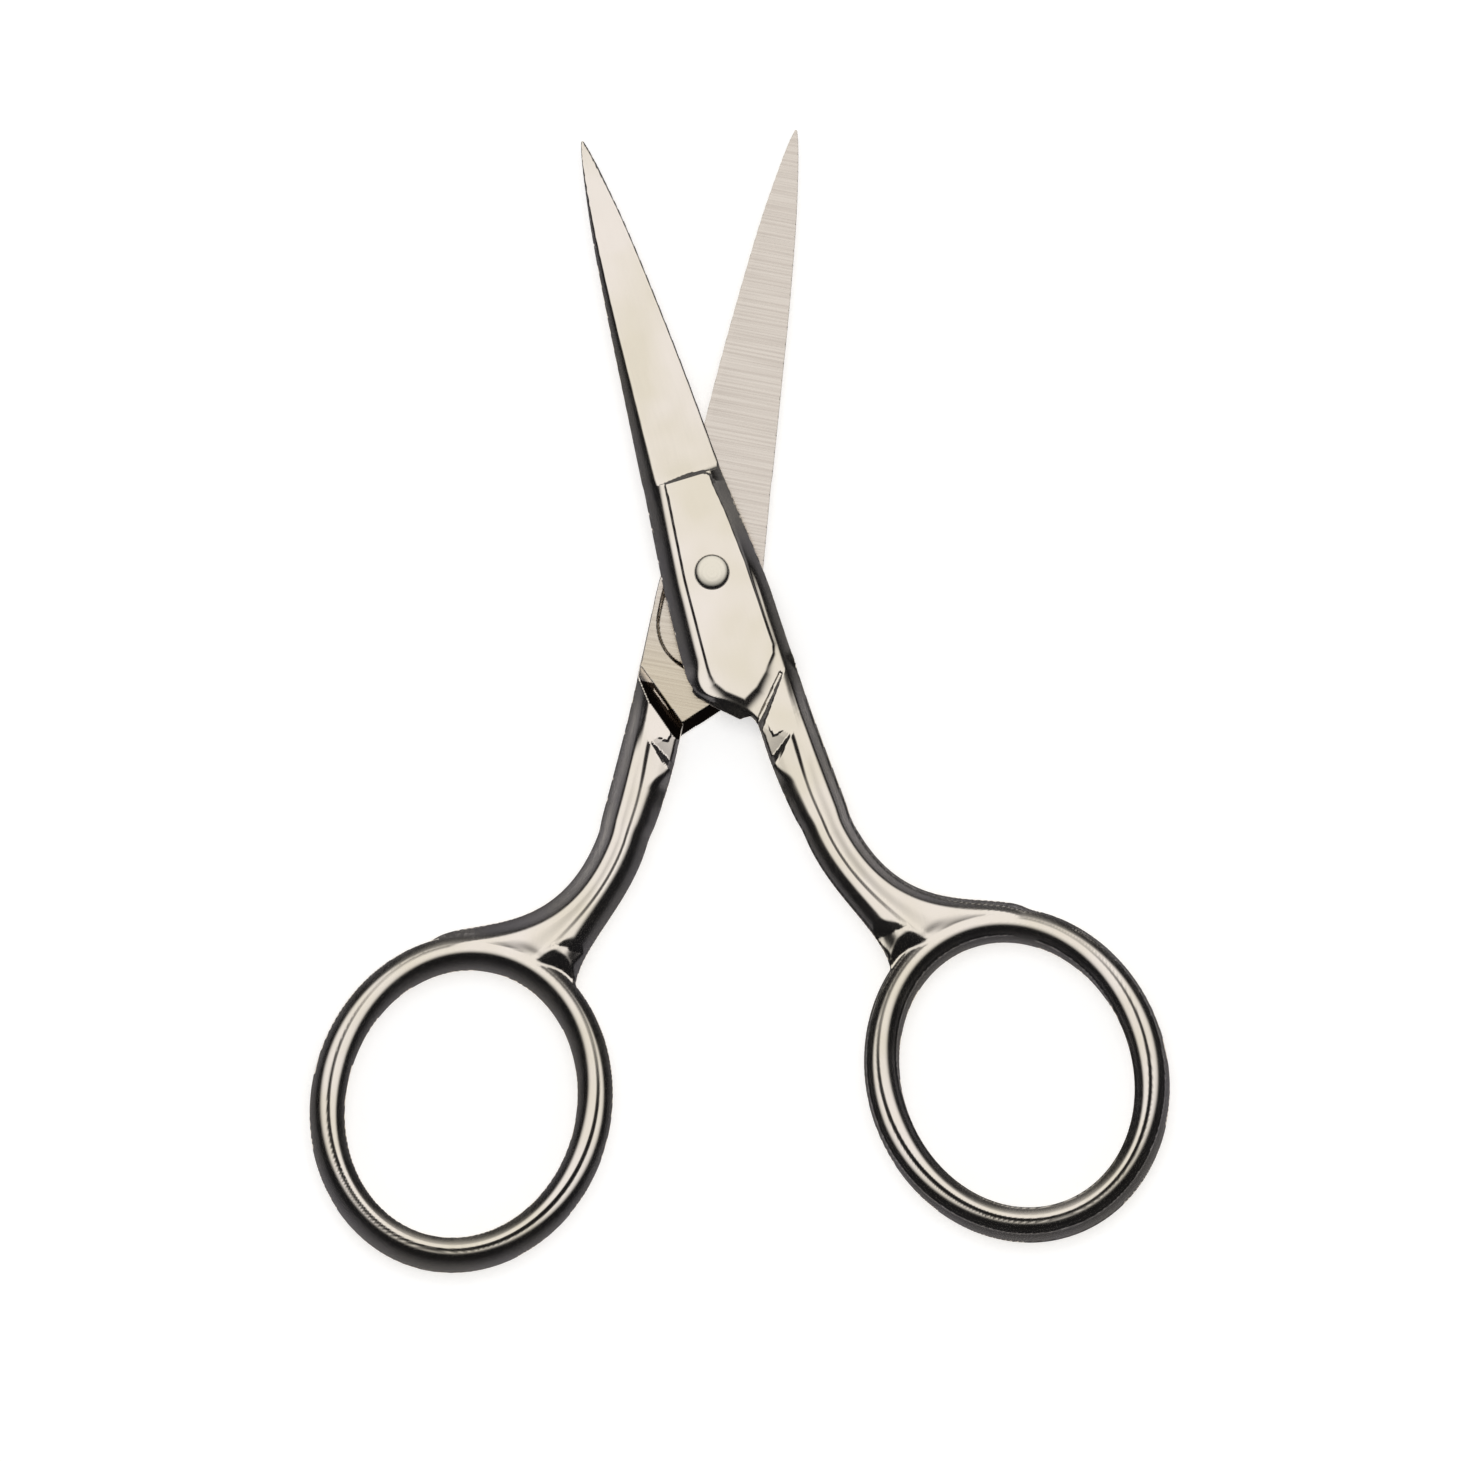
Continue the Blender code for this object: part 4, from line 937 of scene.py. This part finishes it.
def polished_nickel(colours, turn):
    """Nickel-plated steel, buffed bright, on a half that is turned about the rivet.

    To the eye: a warm mirror, a little soft, with hairlines from the buffing wheel.
    """
    material, tree = new_material("polished_nickel_plate")
    place = add_node(tree, "TexCoord").outputs["Object"]
    # Buffing hairlines run along the half, 4 mm long and 0.12 mm apart: coarser than real ones,
    # so that they show
    along = add_node(tree, "Mapping", {"Vector": place, "Rotation": (0, 0, turn),
                                       "Scale": (0.00012, 0.004, 0.00012)},
                     vector_type="TEXTURE")
    hair = add_node(tree, "TexNoise", {"Vector": along.outputs[0], "Scale": 1.0, "Detail": 3.0})
    # Wear: patches some 3 mm wide, where handling has dulled the plate
    worn = add_node(tree, "TexNoise", {"Vector": place, "Scale": 330.0, "Detail": 4.0})
    mixed = add_node(tree, "Math", {0: hair.outputs[0], 1: worn.outputs[0]}, operation="ADD")
    rough = add_node(tree, "MapRange", {"Value": mixed.outputs[0], 1: 0.7, 2: 1.3,
                                        3: 0.13, 4: 0.21})
    # Nickel yellows and pinks in soft patches about 6 mm wide
    patch = add_node(tree, "TexNoise", {"Vector": place, "Scale": 170.0, "Detail": 2.0})
    share = add_node(tree, "MapRange", {"Value": patch.outputs[0], 1: 0.35, 2: 0.65})
    tint = add_node(tree, "Mix", {"Factor": share.outputs[0], "A": (*colours.nickel, 1.0),
                                  "B": (*colours.aged_nickel, 1.0)}, data_type="RGBA")
    # Painted shade: the shoulder's wall and the foot are darkened towards a near-black colour,
    # more where the wear noise is high, as painted dark reflections
    painted_shade_and_stain = add_node(tree, "Attribute", attribute_name="painted_shade_and_stain").outputs["Fac"]
    painted_shade = add_node(tree, "Math", {0: painted_shade_and_stain, 1: worn.outputs[0], 2: painted_shade_and_stain},
                     operation="MULTIPLY_ADD", use_clamp=True)
    shade = add_node(tree, "Mix", {"Factor": painted_shade.outputs[0], "A": tint.outputs["Result"],
                                   "B": (*colours.painted_shade, 1.0)}, data_type="RGBA")
    bare_metal(tree, shade.outputs["Result"], rough.outputs[0], hair.outputs[0], 0.05, 0.00001)
    return material


def ground_steel(colours, turn):
    """Carbon steel, hollow-ground across the turned blade and left unplated.

    To the eye: a satin grey with fine lines that run across the blade.
    """
    material, tree = new_material("hollow_ground_steel")
    place = add_node(tree, "TexCoord").outputs["Object"]
    # Wheel marks lie across the blade, 0.17 mm apart: coarser than real ones, so that they show
    across = add_node(tree, "Mapping", {"Vector": place, "Rotation": (0, 0, turn),
                                        "Scale": (0.015, 0.00017, 0.015)},
                      vector_type="TEXTURE")
    mark = add_node(tree, "TexNoise", {"Vector": across.outputs[0], "Scale": 1.0, "Detail": 2.0})
    shade = add_node(tree, "MapRange", {"Value": mark.outputs[0], 1: 0.40, 2: 0.60})
    tint = add_node(tree, "Mix", {"Factor": shade.outputs[0], "A": (*colours.steel, 1.0),
                                  "B": (*colours.scored_steel, 1.0)}, data_type="RGBA")
    rough = add_node(tree, "MapRange", {"Value": mark.outputs[0], 1: 0.3, 2: 0.7,
                                        3: 0.20, 4: 0.32})
    # Old oil has yellowed the land beside the foot
    painted_shade_and_stain = add_node(tree, "Attribute", attribute_name="painted_shade_and_stain").outputs["Fac"]
    aged = add_node(tree, "Mix", {"Factor": painted_shade_and_stain, "A": tint.outputs["Result"],
                                  "B": (*colours.stain, 1.0)}, data_type="RGBA")
    bare_metal(tree, aged.outputs["Result"], rough.outputs[0], mark.outputs[0], 0.8, 0.00002)
    return material


def turned_steel(colours):
    """Mild steel, turned and then burnished by the rivet press.

    To the eye: a darker, softer gleam than the plate, with rings about the middle.
    """
    material, tree = new_material("turned_steel")
    place = add_node(tree, "TexCoord").outputs["Object"]
    # Turning rings, 0.15 mm apart
    rings = add_node(tree, "TexWave", {"Vector": place, "Scale": 1050.0, "Distortion": 0.3},
                     wave_type="RINGS", rings_direction="Z").outputs["Fac"]
    rough = add_node(tree, "MapRange", {"Value": rings, 3: 0.16, 4: 0.24})
    bare_metal(tree, (*colours.rivet, 1.0), rough.outputs[0], rings, 0.08, 0.00001)
    return material


def seen_share(tree):
    """1 for what the camera, a mirror or glass sees of the background, and 0 for its light."""
    path = add_node(tree, "LightPath")
    total = path.outputs["Is Camera Ray"]
    for ray in ("Is Glossy Ray", "Is Transmission Ray"):
        total = add_node(tree, "Math", {0: total, 1: path.outputs[ray]}, operation="ADD",
                         use_clamp=True).outputs[0]
    return total


def floor_paper(colours):
    """White background paper, matt.

    To the eye: plain white that still takes a soft shadow.
    """
    material, tree = new_material("white_background_paper")
    lift = add_node(tree, "Math", {0: seen_share(tree), 1: FLOOR_LIFT}, operation="MULTIPLY")
    glow = add_node(tree, "Emission", {"Color": (*colours.floor, 1.0),
                                       "Strength": lift.outputs[0]})
    paper = add_node(tree, "BsdfDiffuse", {
        "Color": (*(FLOOR_PALENESS * v for v in colours.floor), 1.0)})
    both = add_node(tree, "AddShader", {0: glow.outputs[0], 1: paper.outputs[0]})
    add_node(tree, "OutputMaterial", {"Surface": both.outputs[0]})
    return material


def black_net():
    """Black studio net, hung round bright metal, close-woven below and open above.

    To the eye: the soft dark bands that give polished metal its shape.
    """
    material, tree = new_material("black_studio_net")
    place = add_node(tree, "NewGeometry").outputs["Position"]
    aim = add_node(tree, "VectorMath", {0: place}, operation="NORMALIZE")
    parts = add_node(tree, "SeparateXYZ", {0: aim.outputs[0]})
    # It hangs lower at the far side of the object than at the near side
    lift = add_node(tree, "Math", {0: parts.outputs["Y"], 1: NET_LEAN, 2: parts.outputs["Z"]},
                    operation="MULTIPLY_ADD")
    gap = add_node(tree, "MapRange", {"Value": lift.outputs[0], 1: NET_CLOSED, 2: NET_OPEN},
                   interpolation_type="SMOOTHSTEP")
    # Painted light: the net glows a little near its foot, standing in for the floor's light on it
    foot = add_node(tree, "MapRange", {"Value": parts.outputs["Z"], 1: NET_FOOT[0],
                                       2: NET_FOOT[1], 3: NET_GLOW[0], 4: NET_GLOW[1]},
                    interpolation_type="SMOOTHSTEP")
    cloth_and_painted_glow = add_node(tree, "Emission", {"Color": NET_COLOUR, "Strength": foot.outputs[0]})
    clear = add_node(tree, "BsdfTransparent")
    both = add_node(tree, "MixShader", {0: gap.outputs[0], 1: cloth_and_painted_glow.outputs[0],
                                        2: clear.outputs[0]})
    add_node(tree, "OutputMaterial", {"Surface": both.outputs[0]})
    return material


# Pieces and stage

RIVET_STEPS = 96
RIVET_SHARP = math.radians(40.0)
WELD_DISTANCE = 0.0000002
# The floor's glow to the camera, its paleness to light, its half width and its place
FLOOR_LIFT = 0.42
FLOOR_PALENESS = 0.8
FLOOR_SPREAD = 2.0
FLOOR_DROP = 0.00002
SKY_LIGHT = 0.55
LAMP_POWER = 2.0
LAMP_SIDE = 0.5
LAMP_PLACE = (0.0, 0.15, 0.8)
# The net's radius and lower edge, its lean, and the heights between which it opens
NET_REACH = 0.30
NET_HEM = 0.0001
NET_LEAN = 0.30
NET_CLOSED = 0.60
NET_OPEN = 0.95
# The heights between which the net's painted glow, standing in for the floor's light, fades, its
# strength at both, its colour
NET_FOOT = (0.17, 0.36)
NET_GLOW = (0.17, 0.012)
NET_COLOUR = (0.86, 0.88, 1.0, 1.0)
CAMERA_PLACE = (0.00081, -0.01210, 0.5)
CAMERA_TURN = math.radians(-3.0)
CAMERA_SPAN = 0.11076


class SCISSORS_OT_add_halves(bpy.types.Operator):
    """Add the two forged halves"""

    bl_idname = "scissors.add_halves"
    bl_label = "Add forged halves"

    def execute(self, context):
        size, colours = context.scene.scissor_sizes, context.scene.scissor_colours
        lift = Matrix.Translation((0.0, 0.0, size.inner_gap / 2 + size.box_thickness))
        for name, turn, over in (("front_half", 1.0, 0.0), ("rear_half", -1.0, math.pi)):
            materials = [polished_nickel(colours, turn * size.opening),
                         ground_steel(colours, turn * size.opening)]
            pose = (lift @ Matrix.Rotation(turn * size.opening, 4, "Z")
                    @ Matrix.Rotation(over, 4, "Y"))
            half = half_object(size, "forged_" + name, over > 0.0, pose, materials)
            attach(half, name)
            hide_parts(name)
        return {"FINISHED"}


class SCISSORS_OT_add_rivet(bpy.types.Operator):
    """Add the pivot rivet"""

    bl_idname = "scissors.add_rivet"
    bl_label = "Add rivet"

    def execute(self, context):
        size, colours = context.scene.scissor_sizes, context.scene.scissor_colours
        pad = size.inner_gap / 2 + size.box_thickness
        seat = 2 * pad + size.rivet_clearance
        shaft, head = size.rivet_diameter / 2, size.head_diameter / 2
        dome, rim = size.head_height - size.head_rim, size.head_rim
        outline = [(0.0, seat + rim + dome)]
        for degrees in range(6, 85, 6):
            turn = math.radians(degrees)
            outline.append((head * math.sin(turn), seat + rim + dome * math.cos(turn)))
        outline += [(head, seat + rim * 0.6), (head, seat + rim * 0.2), (head - rim * 0.2, seat),
                    (shaft, seat), (shaft, size.tail_depth), (shaft + size.tail_flare, 0.0),
                    (0.0, 0.0)]
        mesh = bmesh.new()
        verts = [mesh.verts.new((radius, 0.0, height)) for radius, height in outline]
        edges = [mesh.edges.new(pair) for pair in zip(verts, verts[1:])]
        bmesh.ops.spin(mesh, geom=verts + edges, axis=(0.0, 0.0, 1.0), cent=(0.0, 0.0, 0.0),
                       angle=2 * math.pi, steps=RIVET_STEPS, use_merge=True)
        bmesh.ops.remove_doubles(mesh, verts=mesh.verts, dist=WELD_DISTANCE)
        bmesh.ops.recalc_face_normals(mesh, faces=mesh.faces)
        rivet = shaped_object("turned_pivot_rivet", mesh, turned_steel(colours))
        rivet.data.shade_smooth()
        rivet.data.set_sharp_from_angle(angle=RIVET_SHARP)
        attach(rivet, "rear_half")
        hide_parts("pivot_rivet")
        return {"FINISHED"}


class SCISSORS_OT_add_stage(bpy.types.Operator):
    """Add the floor, the light, the black net and the camera"""

    bl_idname = "scissors.add_stage"
    bl_label = "Add stage"

    def execute(self, context):
        scene, colours = context.scene, context.scene.scissor_colours
        scene.view_settings.view_transform = "Standard"
        mesh = bmesh.new()
        mesh.faces.new([mesh.verts.new((x * FLOOR_SPREAD, y * FLOOR_SPREAD, -FLOOR_DROP))
                        for x, y in ((-1, -1), (1, -1), (1, 1), (-1, 1))])
        shaped_object("floor", mesh, floor_paper(colours))

        mesh = bmesh.new()
        bmesh.ops.create_uvsphere(mesh, u_segments=64, v_segments=48, radius=NET_REACH)
        low = [vert for vert in mesh.verts if vert.co.z < -NET_HEM]
        bmesh.ops.delete(mesh, geom=low, context="VERTS")
        net = shaped_object("studio_net", mesh, black_net())
        net.data.shade_smooth()
        net.visible_camera = net.visible_diffuse = net.visible_shadow = False

        world = bpy.data.worlds.new("studio")
        world.use_nodes = True
        tree = world.node_tree
        tree.nodes.clear()
        seen = add_node(tree, "MapRange", {"Value": seen_share(tree), 3: SKY_LIGHT, 4: 1.0})
        sky = add_node(tree, "Background", {"Color": (*colours.floor, 1.0),
                                            "Strength": seen.outputs[0]})
        add_node(tree, "OutputWorld", {"Surface": sky.outputs[0]})
        scene.world = world

        lamp = bpy.data.lights.new("softbox", "AREA")
        lamp.shape, lamp.size, lamp.energy = "SQUARE", LAMP_SIDE, LAMP_POWER
        box = add_object("softbox", lamp)
        box.location = LAMP_PLACE
        box.visible_glossy = False

        camera = bpy.data.cameras.new("camera")
        camera.type, camera.ortho_scale = "ORTHO", CAMERA_SPAN
        camera.clip_start, camera.clip_end = 0.01, 10.0
        eye = add_object("camera", camera)
        eye.location = CAMERA_PLACE
        eye.rotation_euler = (0.0, 0.0, CAMERA_TURN)
        scene.camera = eye
        return {"FINISHED"}


class SCISSORS_PT_panel(bpy.types.Panel):
    """Sizes, colours and pieces of the scissors"""

    bl_label = "Facial hair scissors"
    bl_space_type = "VIEW_3D"
    bl_region_type = "UI"
    bl_category = "Scissors"

    def draw(self, context):
        layout = self.layout
        for operator in OPERATORS:
            layout.operator(operator.bl_idname)
        for group in (context.scene.scissor_sizes, context.scene.scissor_colours):
            column = layout.column()
            for name in type(group).__annotations__:
                column.prop(group, name)


OPERATORS = (SCISSORS_OT_add_halves, SCISSORS_OT_add_rivet, SCISSORS_OT_add_stage)
CLASSES = (ScissorSizes, ScissorColours, *OPERATORS, SCISSORS_PT_panel)


def register():
    """Register the classes and hang the settings on the scene."""
    for cls in CLASSES:
        bpy.utils.register_class(cls)
    bpy.types.Scene.scissor_sizes = PointerProperty(type=ScissorSizes)
    bpy.types.Scene.scissor_colours = PointerProperty(type=ScissorColours)


def unregister():
    """Take everything back out."""
    del bpy.types.Scene.scissor_colours
    del bpy.types.Scene.scissor_sizes
    for cls in reversed(CLASSES):
        bpy.utils.unregister_class(cls)


def main():
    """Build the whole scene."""
    register()
    bpy.ops.scissors.add_halves()
    bpy.ops.scissors.add_rivet()
    bpy.ops.scissors.add_stage()


if __name__ == "__main__":
    main()
